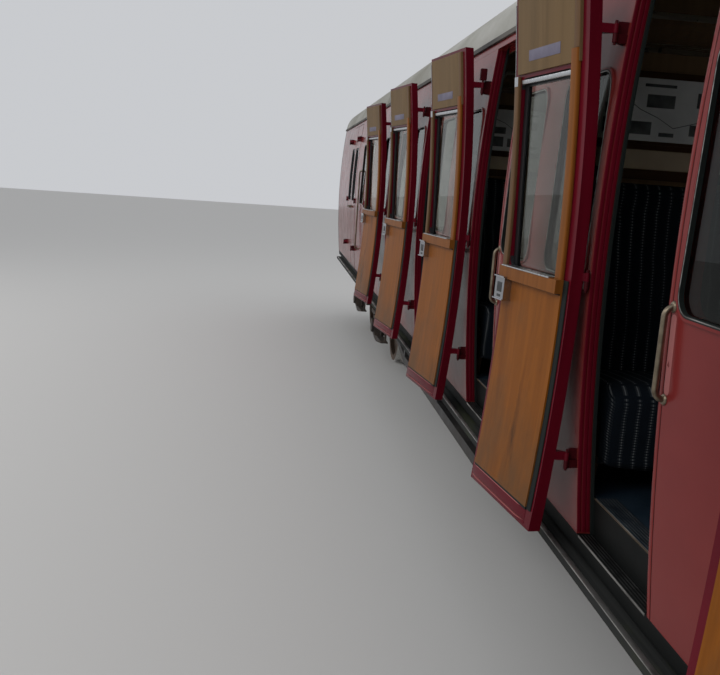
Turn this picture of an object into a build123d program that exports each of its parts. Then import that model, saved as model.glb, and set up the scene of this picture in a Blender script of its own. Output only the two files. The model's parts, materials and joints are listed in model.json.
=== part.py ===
from build123d import *
import os
from math import sqrt, cos, sin, radians, degrees, atan2

os.makedirs("parts", exist_ok=True)

# A suburban railway coach with six compartments and a luggage van. X runs along the coach towards
# the compartment end, the side at -Y is the platform side, and Z is up. Z = 0 is the plane that
# the wheel flanges stand on, so heights over the rail are counted from RAIL. Millimetres.

RAIL = 28.0

# Body shell
BODY_LENGTH = 17374.0
BODY_WIDTH = 2743.0
BODY_LOW = RAIL + 1040.0
WAIST = RAIL + 2145.0
LOWER_SIDE_RADIUS = 9000.0
UPPER_SIDE_RADIUS = 7800.0
GUTTER = RAIL + 3125.0
ROOF_TOP = RAIL + 3770.0
SHOULDER_RADIUS = 330.0
ROOF_THICKNESS = 60.0
END_THICKNESS = 60.0
SKIN = 60.0
LIP = 8.0
LIP_WIDTH = 14.0
FLOOR_TOP = RAIL + 1245.0
FLOOR_THICKNESS = 40.0

# Rooms
COMPARTMENTS = 6
PITCH = 1905.0
PARTITION = 30.0

# Doorways and doors
DOORWAY = 620.0
DOOR_LOW = RAIL + 1110.0
DOOR_HIGH = RAIL + 3080.0
DOOR_GAP = 6.0
DOOR_SHELL = 45.0
DOOR_LINING = 10.0
DOOR_BEVEL = 18.0
DOOR_SWING = 172.0
HINGE_OUT = 12.0
HINGE_HEIGHTS = (RAIL + 1400.0, RAIL + 2055.0, RAIL + 2890.0)
LUGGAGE_DOORWAY = 1220.0
GUARD_DOOR_FROM_WALL = 1147.0
LUGGAGE_FROM_GUARD_DOOR = 2300.0

# Windows
SILL = RAIL + 2035.0
WINDOW_HEIGHT = 735.0
QUARTERLIGHT = 460.0
QUARTERLIGHT_OFFSET = 600.0
VAN_WINDOW = 480.0
VAN_WINDOW_FROM_GUARD_DOOR = 750.0
WINDOW_RADIUS = 65.0
REBATE = 14.0
PANE_DEPTH = 15.0
PANE = 6.0
DROPLIGHT = 440.0
DROPLIGHT_RADIUS = 40.0

# Running gear
BOGIE_FROM_END = 2592.0
WHEELBASE = 2591.0
TREAD_RADIUS = 457.0

# Clearances
SEAT_FIT = 1.0
SLIDE_FIT = 1.0
BEARING_FIT = 0.5
PIVOT_FIT = 3.0
LIP_FIT = 5.0

HALF_LENGTH = BODY_LENGTH / 2
BOGIE_CENTRES = BODY_LENGTH - 2 * BOGIE_FROM_END
HALF_WIDTH = BODY_WIDTH / 2
WALL = SKIN + LIP
ROOM_START = HALF_LENGTH - END_THICKNESS
AXLE = RAIL + TREAD_RADIUS
DOOR_THICKNESS = DOOR_SHELL + DOOR_LINING
WINDOW_MIDDLE = SILL + WINDOW_HEIGHT / 2
COMPARTMENT_X = [ROOM_START - PITCH * (index + 0.5) for index in range(COMPARTMENTS)]
VAN_START = ROOM_START - PITCH * COMPARTMENTS
GUARD_DOOR_X = VAN_START - GUARD_DOOR_FROM_WALL
LUGGAGE_DOOR_X = GUARD_DOOR_X - LUGGAGE_FROM_GUARD_DOOR
VAN_WINDOW_X = GUARD_DOOR_X - VAN_WINDOW_FROM_GUARD_DOOR


def save(solid, name):
    """Label one finished piece and write its file."""
    solid.label = name
    export_step(solid, f"parts/{name}.step")


def side_radius(z):
    """Radius of the side's curve, which changes at the waist."""
    return LOWER_SIDE_RADIUS if z < WAIST else UPPER_SIDE_RADIUS


def side_y(z, depth=0.0):
    """Distance from the centre line to the side's outer surface, or to a layer this deep in it."""
    radius = side_radius(z)
    return HALF_WIDTH - radius + sqrt((radius - depth) ** 2 - (z - WAIST) ** 2)


def side_layer(low, high, depth, place):
    """Arcs along one layer of the side from low to high, split where the curve changes."""
    stops = [low, WAIST, high] if low < WAIST < high else [low, high]
    for start, end in zip(stops, stops[1:]):
        ThreePointArc(
            place(start, depth),
            place((start + end) / 2, depth),
            place(end, depth),
        )


def side_band(low, high, outer, inner, place):
    """Face between two layers of the side, drawn on a Y-Z plane."""
    with BuildLine() as outline:
        side_layer(low, high, outer, place)
        Line(place(high, outer), place(high, inner))
        side_layer(low, high, inner, place)
        Line(place(low, outer), place(low, inner))
    make_face(outline.edges())


def on_side(side):
    """Place points on the platform side (-1) or on the far side (1)."""
    return lambda z, depth: (side * side_y(z, depth), z)


def side_plane(z, side, depth=0.0):
    """Plane that touches a layer of the side, its normal out of the coach and its X along it."""
    radius = side_radius(z)
    out = sqrt(1.0 - ((z - WAIST) / radius) ** 2)
    return Plane(
        origin=(0, side * side_y(z, depth), z),
        x_dir=(-side, 0, 0),
        z_dir=(0, side * out, (z - WAIST) / radius),
    )


# Doorways along one side, from the compartment end to the van end: middle and width
DOORWAYS = [(x, DOORWAY) for x in COMPARTMENT_X]
DOORWAYS.append((GUARD_DOOR_X, DOORWAY))
DOORWAYS.append((LUGGAGE_DOOR_X, LUGGAGE_DOORWAY))

# Fixed windows along one side: the middles of those of one width
WINDOWS = [
    ([x + offset for x in COMPARTMENT_X for offset in (QUARTERLIGHT_OFFSET, -QUARTERLIGHT_OFFSET)],
     QUARTERLIGHT),
    ([VAN_WINDOW_X], VAN_WINDOW),
]


def window_outlines(side, grow):
    """Rounded outlines of all fixed windows of one side, this much larger than the clear opening."""
    for middles, width in WINDOWS:
        with Locations(*[(-side * x, 0) for x in middles]):
            RectangleRounded(width + 2 * grow, WINDOW_HEIGHT + 2 * grow, WINDOW_RADIUS + grow)


# Panels between the doorways: their ends, and whether each end is the jamb of a doorway
edges = [(ROOM_START, False)]
for middle, width in DOORWAYS:
    edges.append((middle + width / 2, True))
    edges.append((middle - width / 2, True))
edges.append((-ROOM_START, False))
PANELS = [(edges[index], edges[index + 1]) for index in range(0, len(edges), 2)]

# Side panels: pressed skin over a frame, with a lip round each doorway and glazed windows
for side, name in ((-1, "side_platform"), (1, "side_far")):
    with BuildPart() as side_panels:
        for (right, right_jamb), (left, left_jamb) in PANELS:
            with BuildSketch(Plane.YZ.offset(left)):
                side_band(DOOR_LOW - DOOR_GAP, DOOR_HIGH + DOOR_GAP, 0, SKIN, on_side(side))
            extrude(amount=right - left)
            lip_left = left - LIP_WIDTH * left_jamb
            lip_right = right + LIP_WIDTH * right_jamb
            # The lips stand into the doorway behind the door's shell, so that it shuts against them
            with BuildSketch(Plane.YZ.offset(lip_left)):
                side_band(DOOR_LOW - DOOR_GAP, DOOR_HIGH + DOOR_GAP, DOOR_SHELL + LIP_FIT, SKIN,
                          on_side(side))
            extrude(amount=lip_right - lip_left)
        shoulder = side_plane(WINDOW_MIDDLE, side, PANE_DEPTH + PANE)
        with BuildSketch(shoulder):
            window_outlines(side, 0)
        extrude(amount=WALL, both=True, mode=Mode.SUBTRACT)
        with BuildSketch(shoulder):
            window_outlines(side, REBATE)
        extrude(amount=WALL, mode=Mode.SUBTRACT)
    save(side_panels.part, name)

# Fixed panes, each on the shoulder of its window's rebate
with BuildPart() as fixed_glazing:
    for side in (-1, 1):
        with BuildSketch(side_plane(WINDOW_MIDDLE, side, PANE_DEPTH + PANE)):
            window_outlines(side, REBATE - SEAT_FIT)
        extrude(amount=PANE)
save(fixed_glazing.part, "fixed_glazing")

# Bottom rails: the sill under the doors with the riser that closes the floor's edge
with BuildPart() as bottom_rails:
    for side in (-1, 1):
        with BuildSketch(Plane.YZ.offset(-ROOM_START)):
            side_band(BODY_LOW, DOOR_LOW - DOOR_GAP, 0, SKIN, on_side(side))
            side_band(BODY_LOW, FLOOR_TOP, SKIN, WALL, on_side(side))
        extrude(amount=2 * ROOM_START)
save(bottom_rails.part, "bottom_rails")

# Cantrails: the band over the doors, with the lip that the door heads shut against
with BuildPart() as cantrails:
    for side in (-1, 1):
        with BuildSketch(Plane.YZ.offset(-ROOM_START)):
            side_band(DOOR_HIGH + DOOR_GAP, GUTTER, 0, SKIN, on_side(side))
            side_band(DOOR_HIGH - LIP_WIDTH, GUTTER, SKIN, WALL, on_side(side))
        extrude(amount=2 * ROOM_START)
save(cantrails.part, "cantrails")

# Roof section: a flat crown arc that runs into a tight shoulder arc over each gutter
GUTTER_Y = side_y(GUTTER)
ROOF_RISE = ROOF_TOP - GUTTER
CROWN_RADIUS = (
    (GUTTER_Y ** 2 + ROOF_RISE ** 2 - 2 * GUTTER_Y * SHOULDER_RADIUS)
    / (2 * (ROOF_RISE - SHOULDER_RADIUS))
)
CROWN_CENTRE = ROOF_TOP - CROWN_RADIUS
SHOULDER_Y = GUTTER_Y - SHOULDER_RADIUS
SHOULDER_TURN = degrees(atan2(GUTTER - CROWN_CENTRE, SHOULDER_Y))


def roof_layer(depth):
    """The three arcs of the roof, this deep in it, from the far gutter to the platform gutter."""
    crown = CROWN_RADIUS - depth
    shoulder = SHOULDER_RADIUS - depth
    turn = radians(SHOULDER_TURN)
    half_turn = turn / 2
    for side in (1, -1):
        ThreePointArc(
            (side * (SHOULDER_Y + shoulder), GUTTER),
            (side * (SHOULDER_Y + shoulder * cos(half_turn)), GUTTER + shoulder * sin(half_turn)),
            (side * crown * cos(turn), CROWN_CENTRE + crown * sin(turn)),
        )
    ThreePointArc(
        (crown * cos(turn), CROWN_CENTRE + crown * sin(turn)),
        (0, CROWN_CENTRE + crown),
        (-crown * cos(turn), CROWN_CENTRE + crown * sin(turn)),
    )


GUTTER_STRIP = 14.0
GUTTER_STRIP_HEIGHT = 26.0

# Roof: one curved shell with its ceiling, and a gutter strip along each side
with BuildPart() as roof:
    with BuildSketch(Plane.YZ.offset(-HALF_LENGTH)):
        with BuildLine():
            roof_layer(0)
            for side in (-1, 1):
                Line((side * GUTTER_Y, GUTTER), (side * (GUTTER_Y - ROOF_THICKNESS), GUTTER))
            roof_layer(ROOF_THICKNESS)
        make_face()
        for side in (-1, 1):
            with Locations((side * GUTTER_Y, GUTTER + GUTTER_STRIP_HEIGHT / 2)):
                Rectangle(2 * GUTTER_STRIP, GUTTER_STRIP_HEIGHT)
    extrude(amount=BODY_LENGTH)
save(roof.part, "roof")


def body_section(low, depth, roof_depth):
    """Face of the body's cross-section: both sides up to the gutter, then the roof's underside."""
    with BuildLine() as outline:
        Line((-side_y(low, depth), low), (side_y(low, depth), low))
        for side in (-1, 1):
            side_layer(low, GUTTER, depth, on_side(side))
            Line(
                (side * side_y(GUTTER, depth), GUTTER),
                (side * (GUTTER_Y - roof_depth), GUTTER),
            )
        roof_layer(roof_depth)
    make_face(outline.edges())


# Ends: flat walls under the roof's ends
for name, start in (("end_compartment", ROOM_START), ("end_van", -HALF_LENGTH)):
    with BuildPart() as end_wall:
        with BuildSketch(Plane.YZ.offset(start)):
            body_section(BODY_LOW, 0, ROOF_THICKNESS)
        extrude(amount=END_THICKNESS)
    save(end_wall.part, name)

# Partitions between the rooms, standing on the floor, with a picture rail at two heights
PICTURE_LOW = RAIL + 2540.0
PICTURE_HIGH = RAIL + 2800.0
PICTURE_RAIL = 24.0
PICTURE_RAIL_OUT = 10.0
with BuildPart() as partitions:
    for index in range(1, COMPARTMENTS + 1):
        wall = ROOM_START - PITCH * index
        with BuildSketch(Plane.YZ.offset(wall - PARTITION / 2)):
            body_section(FLOOR_TOP, WALL + SEAT_FIT, WALL + SEAT_FIT)
        extrude(amount=PARTITION)
        for z in (PICTURE_LOW, PICTURE_HIGH):
            rail_half = side_y(z, WALL) - 2 * PICTURE_RAIL_OUT
            with BuildSketch(Plane.XY.offset(z)):
                with Locations((wall, 0)):
                    Rectangle(PARTITION + 2 * PICTURE_RAIL_OUT, 2 * rail_half)
            extrude(amount=PICTURE_RAIL)
save(partitions.part, "partitions")

# Floor boards between the bottom rails
FLOOR_HALF = side_y(FLOOR_TOP - FLOOR_THICKNESS, WALL)
with BuildPart() as floor:
    with BuildSketch(Plane.XY.offset(FLOOR_TOP - FLOOR_THICKNESS)):
        Rectangle(2 * ROOM_START, 2 * FLOOR_HALF)
    extrude(amount=FLOOR_THICKNESS)
save(floor.part, "floor")

# Seats: two benches face each other in each compartment, each against a wall. Each piece is made
# for a wall at X = 0 and faces +X.
BENCH_HALF = side_y(FLOOR_TOP, WALL) - 20.0
CUSHION_TOP = FLOOR_TOP + 440.0
CUSHION_DEPTH = 470.0
CUSHION_HEIGHT = 170.0
CUSHION_LOW = CUSHION_TOP - CUSHION_HEIGHT
CUSHION_ROUND = 30.0
BACK_TOP = FLOOR_TOP + 1170.0
BACK_FOOT = 150.0
BACK_HEAD = 85.0
LUMBAR = FLOOR_TOP + 700.0
LUMBAR_DEPTH = 125.0
PLINTH_SETBACK = 60.0
BOARD = 22.0
KICK = FLOOR_TOP + 110.0
BENCH_FRONT = BACK_FOOT + CUSHION_DEPTH - PLINTH_SETBACK
BENCHES = [(ROOM_START - PITCH * index - PARTITION / 2 * (index > 0), 180)
           for index in range(COMPARTMENTS)]
BENCHES += [(ROOM_START - PITCH * (index + 1) + PARTITION / 2, 0) for index in range(COMPARTMENTS)]


def at_benches(unit):
    """One copy of a piece at each bench's wall, turned to face into its compartment."""
    return Compound([unit.part.solid().moved(Location((wall, 0, 0), (0, 0, turn)))
                     for wall, turn in BENCHES])


def across(half, points):
    """Extrude a profile, given as distance from the wall and height, across the coach."""
    with BuildSketch(Plane.XZ.offset(-half)) as profile:
        with BuildLine():
            Polyline(*points, close=True)
        make_face()
    extrude(profile.sketch, amount=2 * half)


with BuildPart() as seat_frame:
    across(BENCH_HALF, [
        (0, CUSHION_LOW),
        (BENCH_FRONT, CUSHION_LOW),
        (BENCH_FRONT, KICK),
        (BENCH_FRONT - BOARD, KICK),
        (BENCH_FRONT - BOARD, CUSHION_LOW - BOARD),
        (0, CUSHION_LOW - BOARD),
    ])
    for y in (-BENCH_HALF + BOARD / 2, 0, BENCH_HALF - BOARD / 2):
        with BuildSketch(Plane.XZ.offset(-y - BOARD / 2)):
            with BuildLine():
                Polyline(
                    (0, CUSHION_LOW),
                    (BENCH_FRONT, CUSHION_LOW),
                    (BENCH_FRONT - PLINTH_SETBACK, FLOOR_TOP),
                    (0, FLOOR_TOP),
                    close=True,
                )
            make_face()
        extrude(amount=BOARD)
save(at_benches(seat_frame), "seat_frames")

with BuildPart() as seat_cushion:
    across(BENCH_HALF, [
        (BACK_FOOT + SEAT_FIT, CUSHION_LOW),
        (BACK_FOOT + CUSHION_DEPTH - CUSHION_ROUND, CUSHION_LOW),
        (BACK_FOOT + CUSHION_DEPTH, CUSHION_LOW + CUSHION_ROUND),
        (BACK_FOOT + CUSHION_DEPTH, CUSHION_TOP - CUSHION_ROUND),
        (BACK_FOOT + CUSHION_DEPTH - 2 * CUSHION_ROUND, CUSHION_TOP),
        (BACK_FOOT + SEAT_FIT, CUSHION_TOP - CUSHION_ROUND),
    ])
save(at_benches(seat_cushion), "seat_cushions")

with BuildPart() as seat_back:
    across(BENCH_HALF, [
        (0, CUSHION_LOW),
        (BACK_FOOT, CUSHION_LOW),
        (BACK_FOOT, CUSHION_TOP),
        (LUMBAR_DEPTH, LUMBAR),
        (BACK_HEAD, BACK_TOP - CUSHION_ROUND),
        (BACK_HEAD - CUSHION_ROUND, BACK_TOP),
        (0, BACK_TOP),
    ])
save(at_benches(seat_back), "seat_backs")

# Luggage racks over the seats: a front tube on four brackets, with a rail against the wall
RACK = FLOOR_TOP + 1700.0
RACK_DEPTH = 330.0
RACK_RISE = 60.0
RACK_TUBE = 12.0
RACK_HALF = BENCH_HALF - RACK_RISE
BRACKET_LOW = RACK - 110.0
with BuildPart() as luggage_rack:
    with BuildSketch(Plane.XZ.offset(-RACK_HALF)):
        with Locations((RACK_DEPTH, RACK + RACK_RISE)):
            RegularPolygon(RACK_TUBE, 8)
        with Locations((RACK_TUBE / 2, RACK)):
            Rectangle(RACK_TUBE, 3 * RACK_TUBE)
    extrude(amount=2 * RACK_HALF)
    for y in (-RACK_HALF, -RACK_HALF / 3, RACK_HALF / 3, RACK_HALF):
        with BuildSketch(Plane.XZ.offset(-y - RACK_TUBE / 2)):
            with BuildLine():
                Polyline(
                    (0, RACK + RACK_TUBE),
                    (RACK_DEPTH, RACK + RACK_RISE + RACK_TUBE / 2),
                    (RACK_DEPTH, RACK + RACK_RISE - RACK_TUBE / 2),
                    (RACK_RISE, RACK - 3 * RACK_TUBE),
                    (0, BRACKET_LOW),
                    close=True,
                )
            make_face()
        extrude(amount=RACK_TUBE)
save(at_benches(luggage_rack), "luggage_racks")

# Guard's fittings: the hand brake's column with its wheel, and a seat on the van's first wall
VAN_WALL = VAN_START - PARTITION / 2
COLUMN_X = VAN_WALL - 420.0
COLUMN_TOP = FLOOR_TOP + 1020.0
COLUMN = 45.0
HAND_WHEEL = 190.0
HAND_WHEEL_RIM = 28.0
GUARD_SEAT_Y = 720.0
GUARD_SEAT_WIDTH = 440.0
GUARD_SEAT_TOP = FLOOR_TOP + 560.0
GUARD_SEAT_DEPTH = 430.0
GUARD_SEAT_BACK = 420.0
GUARD_SEAT_BRACE = 300.0
GUARD_CUSHION = 65.0
with BuildPart() as guard_fittings:
    with BuildSketch(Plane.XY.offset(FLOOR_TOP)):
        with Locations((COLUMN_X, 0)):
            RegularPolygon(COLUMN, 8)
    extrude(amount=COLUMN_TOP - FLOOR_TOP)
    with BuildSketch(Plane.XY.offset(COLUMN_TOP)):
        with Locations((COLUMN_X, 0)):
            RegularPolygon(HAND_WHEEL, 24)
            RegularPolygon(HAND_WHEEL - HAND_WHEEL_RIM, 24, mode=Mode.SUBTRACT)
            RegularPolygon(COLUMN, 8)
            Rectangle(2 * (HAND_WHEEL - HAND_WHEEL_RIM / 2), HAND_WHEEL_RIM)
            Rectangle(HAND_WHEEL_RIM, 2 * (HAND_WHEEL - HAND_WHEEL_RIM / 2))
    extrude(amount=HAND_WHEEL_RIM)
    with BuildSketch(Plane.XZ.offset(-GUARD_SEAT_Y - GUARD_SEAT_WIDTH / 2)):
        with BuildLine():
            Polyline(
                (VAN_WALL, GUARD_SEAT_TOP + GUARD_SEAT_BACK),
                (VAN_WALL - GUARD_CUSHION, GUARD_SEAT_TOP + GUARD_SEAT_BACK),
                (VAN_WALL - GUARD_CUSHION, GUARD_SEAT_TOP),
                (VAN_WALL - GUARD_SEAT_DEPTH, GUARD_SEAT_TOP),
                (VAN_WALL - GUARD_SEAT_DEPTH, GUARD_SEAT_TOP - GUARD_CUSHION),
                (VAN_WALL - GUARD_CUSHION, GUARD_SEAT_TOP - GUARD_SEAT_BRACE),
                (VAN_WALL, GUARD_SEAT_TOP - GUARD_SEAT_BRACE),
                close=True,
            )
        make_face()
    extrude(amount=GUARD_SEAT_WIDTH)
save(guard_fittings.part, "guard_fittings")

# Ceiling lamps: one round fitting over the middle of each room's floor
LAMP_RADIUS = 95.0
LAMP_DROP = 55.0
LAMP_X = COMPARTMENT_X + [GUARD_DOOR_X, LUGGAGE_DOOR_X]
LAMP_TOP = CROWN_CENTRE + sqrt((CROWN_RADIUS - ROOF_THICKNESS) ** 2 - LAMP_RADIUS ** 2)
with BuildPart() as ceiling_lamps:
    with BuildSketch(Plane.XY.offset(LAMP_TOP)):
        with Locations(*[(x, 0) for x in LAMP_X]):
            Circle(LAMP_RADIUS)
    extrude(amount=-LAMP_DROP)
save(ceiling_lamps.part, "ceiling_lamps")

# Roof ventilators: a hooded shell over each room, on the crown
VENT_X = COMPARTMENT_X + [GUARD_DOOR_X, LUGGAGE_DOOR_X, -HALF_LENGTH + 900.0]
VENT_LENGTH = 300.0
VENT_WIDTH = 260.0
VENT_HEIGHT = 115.0
VENT_RIM = 30.0
with BuildPart() as roof_ventilators:
    for x in VENT_X:
        with BuildSketch(Plane.XZ.offset(-VENT_WIDTH / 2)):
            with BuildLine():
                Polyline(
                    (x - VENT_LENGTH / 2, ROOF_TOP + VENT_RIM),
                    (x - VENT_LENGTH / 2, ROOF_TOP - VENT_RIM),
                    (x + VENT_LENGTH / 2, ROOF_TOP - VENT_RIM),
                    (x + VENT_LENGTH / 2, ROOF_TOP + VENT_RIM),
                )
                ThreePointArc(
                    (x + VENT_LENGTH / 2, ROOF_TOP + VENT_RIM),
                    (x, ROOF_TOP + VENT_HEIGHT),
                    (x - VENT_LENGTH / 2, ROOF_TOP + VENT_RIM),
                )
            make_face()
        extrude(amount=VENT_WIDTH)
    # The crown is cut out of their feet, so that they seat on its curve
    with BuildSketch(Plane.YZ.offset(-HALF_LENGTH)):
        with Locations((0, CROWN_CENTRE)):
            Circle(CROWN_RADIUS)
    extrude(amount=BODY_LENGTH, mode=Mode.SUBTRACT)
save(roof_ventilators.part, "roof_ventilators")

# Underframe: two channel solebars, two middle beams, cross bars and a stretcher over each bogie
SOLEBAR_Y = HALF_WIDTH - 201.5
SOLEBAR_LOW = RAIL + 990.0
SOLEBAR_HEIGHT = FLOOR_TOP - FLOOR_THICKNESS - SOLEBAR_LOW
SOLEBAR_FLANGE = 90.0
STEEL = 14.0
MIDDLE_BEAM_Y = 330.0
MIDDLE_BEAM = 70.0
CROSS_BARS = 12
CROSS_BAR = 60.0
BOLSTER_STRETCHER = 420.0
with BuildPart() as underframe:
    with BuildSketch(Plane.YZ.offset(-ROOM_START)):
        for side in (-1, 1):
            with BuildLine():
                Polyline(
                    (side * SOLEBAR_Y, SOLEBAR_LOW),
                    (side * SOLEBAR_Y, SOLEBAR_LOW + SOLEBAR_HEIGHT),
                    (side * (SOLEBAR_Y - SOLEBAR_FLANGE), SOLEBAR_LOW + SOLEBAR_HEIGHT),
                    (side * (SOLEBAR_Y - SOLEBAR_FLANGE), SOLEBAR_LOW + SOLEBAR_HEIGHT - STEEL),
                    (side * (SOLEBAR_Y - STEEL), SOLEBAR_LOW + SOLEBAR_HEIGHT - STEEL),
                    (side * (SOLEBAR_Y - STEEL), SOLEBAR_LOW + STEEL),
                    (side * (SOLEBAR_Y - SOLEBAR_FLANGE), SOLEBAR_LOW + STEEL),
                    (side * (SOLEBAR_Y - SOLEBAR_FLANGE), SOLEBAR_LOW),
                    close=True,
                )
            make_face()
            with Locations((side * MIDDLE_BEAM_Y, SOLEBAR_LOW + SOLEBAR_HEIGHT / 2)):
                Rectangle(MIDDLE_BEAM, SOLEBAR_HEIGHT)
    extrude(amount=2 * ROOM_START)
    with BuildSketch(Plane.XY.offset(SOLEBAR_LOW + STEEL)):
        with GridLocations((2 * ROOM_START - CROSS_BAR) / (CROSS_BARS - 1), 1, CROSS_BARS, 1):
            Rectangle(CROSS_BAR, 2 * (SOLEBAR_Y - STEEL))
        with GridLocations(BOGIE_CENTRES, 1, 2, 1):
            Rectangle(BOLSTER_STRETCHER, 2 * (SOLEBAR_Y - STEEL))
    extrude(amount=SOLEBAR_HEIGHT - 2 * STEEL)
save(underframe.part, "underframe")

# Headstocks: a beam across each end, under the body and the ends of the solebars
HEADSTOCK = 110.0
HEADSTOCK_LOW = RAIL + 880.0
HEADSTOCK_HALF = HALF_WIDTH - 151.5
with BuildPart() as headstocks:
    for end in (-1, 1):
        with BuildSketch(Plane.XZ.offset(-HEADSTOCK_HALF)):
            with BuildLine():
                Polyline(
                    (end * HALF_LENGTH, HEADSTOCK_LOW),
                    (end * HALF_LENGTH, BODY_LOW),
                    (end * ROOM_START, BODY_LOW),
                    (end * ROOM_START, SOLEBAR_LOW),
                    (end * (HALF_LENGTH - HEADSTOCK), SOLEBAR_LOW),
                    (end * (HALF_LENGTH - HEADSTOCK), HEADSTOCK_LOW),
                    close=True,
                )
            make_face()
        extrude(amount=2 * HEADSTOCK_HALF)
save(headstocks.part, "headstocks")

# Truss bars under the solebars, between the bogies
TRUSS_LOW = RAIL + 610.0
TRUSS_BAR = 75.0
TRUSS_THICKNESS = 60.0
TRUSS_Y = SOLEBAR_Y - SOLEBAR_FLANGE / 2
TRUSS_FROM_BOGIE = 2495.0
TRUSS_SLOPE = 1900.0
TRUSS_END = BOGIE_CENTRES / 2 - TRUSS_FROM_BOGIE
TRUSS_FLAT = TRUSS_END - TRUSS_SLOPE
with BuildPart() as truss_frames:
    for y in (-TRUSS_Y, TRUSS_Y):
        with BuildSketch(Plane.XZ.offset(-y - TRUSS_THICKNESS / 2)):
            with BuildLine():
                Polyline(
                    (-TRUSS_END, SOLEBAR_LOW),
                    (-TRUSS_END + 2 * TRUSS_BAR, SOLEBAR_LOW),
                    (-TRUSS_FLAT, TRUSS_LOW + TRUSS_BAR),
                    (TRUSS_FLAT, TRUSS_LOW + TRUSS_BAR),
                    (TRUSS_END - 2 * TRUSS_BAR, SOLEBAR_LOW),
                    (TRUSS_END, SOLEBAR_LOW),
                    (TRUSS_FLAT, TRUSS_LOW),
                    (-TRUSS_FLAT, TRUSS_LOW),
                    close=True,
                )
            make_face()
            with Locations((-TRUSS_FLAT, (SOLEBAR_LOW + TRUSS_LOW) / 2),
                           (0, (SOLEBAR_LOW + TRUSS_LOW) / 2),
                           (TRUSS_FLAT, (SOLEBAR_LOW + TRUSS_LOW) / 2)):
                Rectangle(TRUSS_BAR, SOLEBAR_LOW - TRUSS_LOW)
        extrude(amount=TRUSS_THICKNESS)
save(truss_frames.part, "truss_frames")

# Footboards along both sides, on brackets from the solebars
FOOTBOARD_TOP = RAIL + 1020.0
FOOTBOARD = 32.0
FOOTBOARD_EDGE = HALF_WIDTH - 10.0
FOOTBOARD_WIDTH = 180.0
FOOTBOARD_HALF = HALF_LENGTH - 300.0
BRACKETS = 9
BRACKET_HEIGHT = 110.0
BRACKET_DROP = 50.0
with BuildPart() as footboards:
    for side in (-1, 1):
        with BuildSketch(Plane.XY.offset(FOOTBOARD_TOP - FOOTBOARD)):
            with Locations((0, side * (FOOTBOARD_EDGE - FOOTBOARD_WIDTH / 2))):
                Rectangle(2 * FOOTBOARD_HALF, FOOTBOARD_WIDTH)
        extrude(amount=FOOTBOARD)
        for index in range(BRACKETS):
            x = (index / (BRACKETS - 1) - 0.5) * (2 * FOOTBOARD_HALF - 200.0)
            with BuildSketch(Plane.YZ.offset(x - STEEL / 2)):
                with BuildLine():
                    Polyline(
                        (side * SOLEBAR_Y, SOLEBAR_LOW + BRACKET_HEIGHT),
                        (side * (SOLEBAR_Y + STEEL), SOLEBAR_LOW + BRACKET_HEIGHT),
                        (side * (SOLEBAR_Y + STEEL), FOOTBOARD_TOP - FOOTBOARD),
                        (side * (FOOTBOARD_EDGE - STEEL), FOOTBOARD_TOP - FOOTBOARD),
                        (side * (FOOTBOARD_EDGE - STEEL), FOOTBOARD_TOP - FOOTBOARD - STEEL),
                        (side * SOLEBAR_Y, FOOTBOARD_TOP - FOOTBOARD - BRACKET_DROP),
                        close=True,
                    )
                make_face()
            extrude(amount=STEEL)
save(footboards.part, "footboards")

# Buffers on the headstocks: a stepped housing and a round head on its stem
BUFFER_Y = 868.0
BUFFER_Z = RAIL + 1055.0
BUFFER_REACH = 540.0
BUFFER_HEAD_RADIUS = 228.0
BUFFER_FLAT_RADIUS = 150.0
BUFFER_STEM = 72.0
BUFFER_RIM = 16.0
BUFFER_DISH = 14.0
HOUSING_LENGTH = 330.0
HOUSING_RADIUS = 130.0
HOUSING_TAPER = 6.0
HOUSING_PLATE = 300.0
HOUSING_PLATE_THICKNESS = 25.0
BUFFERS = [(end, y) for end in (-1, 1) for y in (-BUFFER_Y, BUFFER_Y)]
with BuildPart() as buffer_housings:
    for end, y in BUFFERS:
        face = Plane(origin=(end * HALF_LENGTH, y, BUFFER_Z), z_dir=(end, 0, 0))
        with BuildSketch(face):
            Rectangle(HOUSING_PLATE, HOUSING_PLATE)
        extrude(amount=HOUSING_PLATE_THICKNESS)
        with BuildSketch(face.offset(HOUSING_PLATE_THICKNESS)):
            Circle(HOUSING_RADIUS)
        extrude(amount=HOUSING_LENGTH - HOUSING_PLATE_THICKNESS, taper=HOUSING_TAPER)
save(buffer_housings.part, "buffer_housings")

BUFFER_RUN = BUFFER_REACH - HOUSING_LENGTH
with BuildPart() as buffer_heads:
    for end, y in BUFFERS:
        base = (end * (HALF_LENGTH + HOUSING_LENGTH), y, BUFFER_Z)
        with BuildSketch(Plane(origin=base, x_dir=(end, 0, 0), z_dir=(0, -1, 0))):
            with BuildLine():
                Polyline(
                    (0, 0),
                    (0, BUFFER_STEM),
                    (BUFFER_RUN - BUFFER_DISH - 2 * BUFFER_RIM, BUFFER_STEM),
                    (BUFFER_RUN - BUFFER_DISH - BUFFER_RIM, BUFFER_HEAD_RADIUS),
                    (BUFFER_RUN - BUFFER_DISH, BUFFER_HEAD_RADIUS),
                    (BUFFER_RUN, BUFFER_FLAT_RADIUS),
                    (BUFFER_RUN, 0),
                    close=True,
                )
            make_face()
        revolve(axis=Axis(base, (end, 0, 0)))
save(buffer_heads.part, "buffer_heads")

# Draw gear: a hook on each headstock with its screw coupling hanging from it
COUPLING_Z = RAIL + 1030.0
DRAW_PLATE_WIDTH = 190.0
DRAW_PLATE_HEIGHT = 150.0
DRAW_PLATE = 20.0
HOOK = 44.0
LINK = 18.0
LINK_Y = 45.0
LINK_LENGTH = 300.0
LINK_WIDTH = 62.0
LINK_PIN = 20.0
LINK_PIN_LENGTH = 140.0
LINK_X = 130.0
LINK_DROP = 235.0
SCREW_DROP = 170.0
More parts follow.
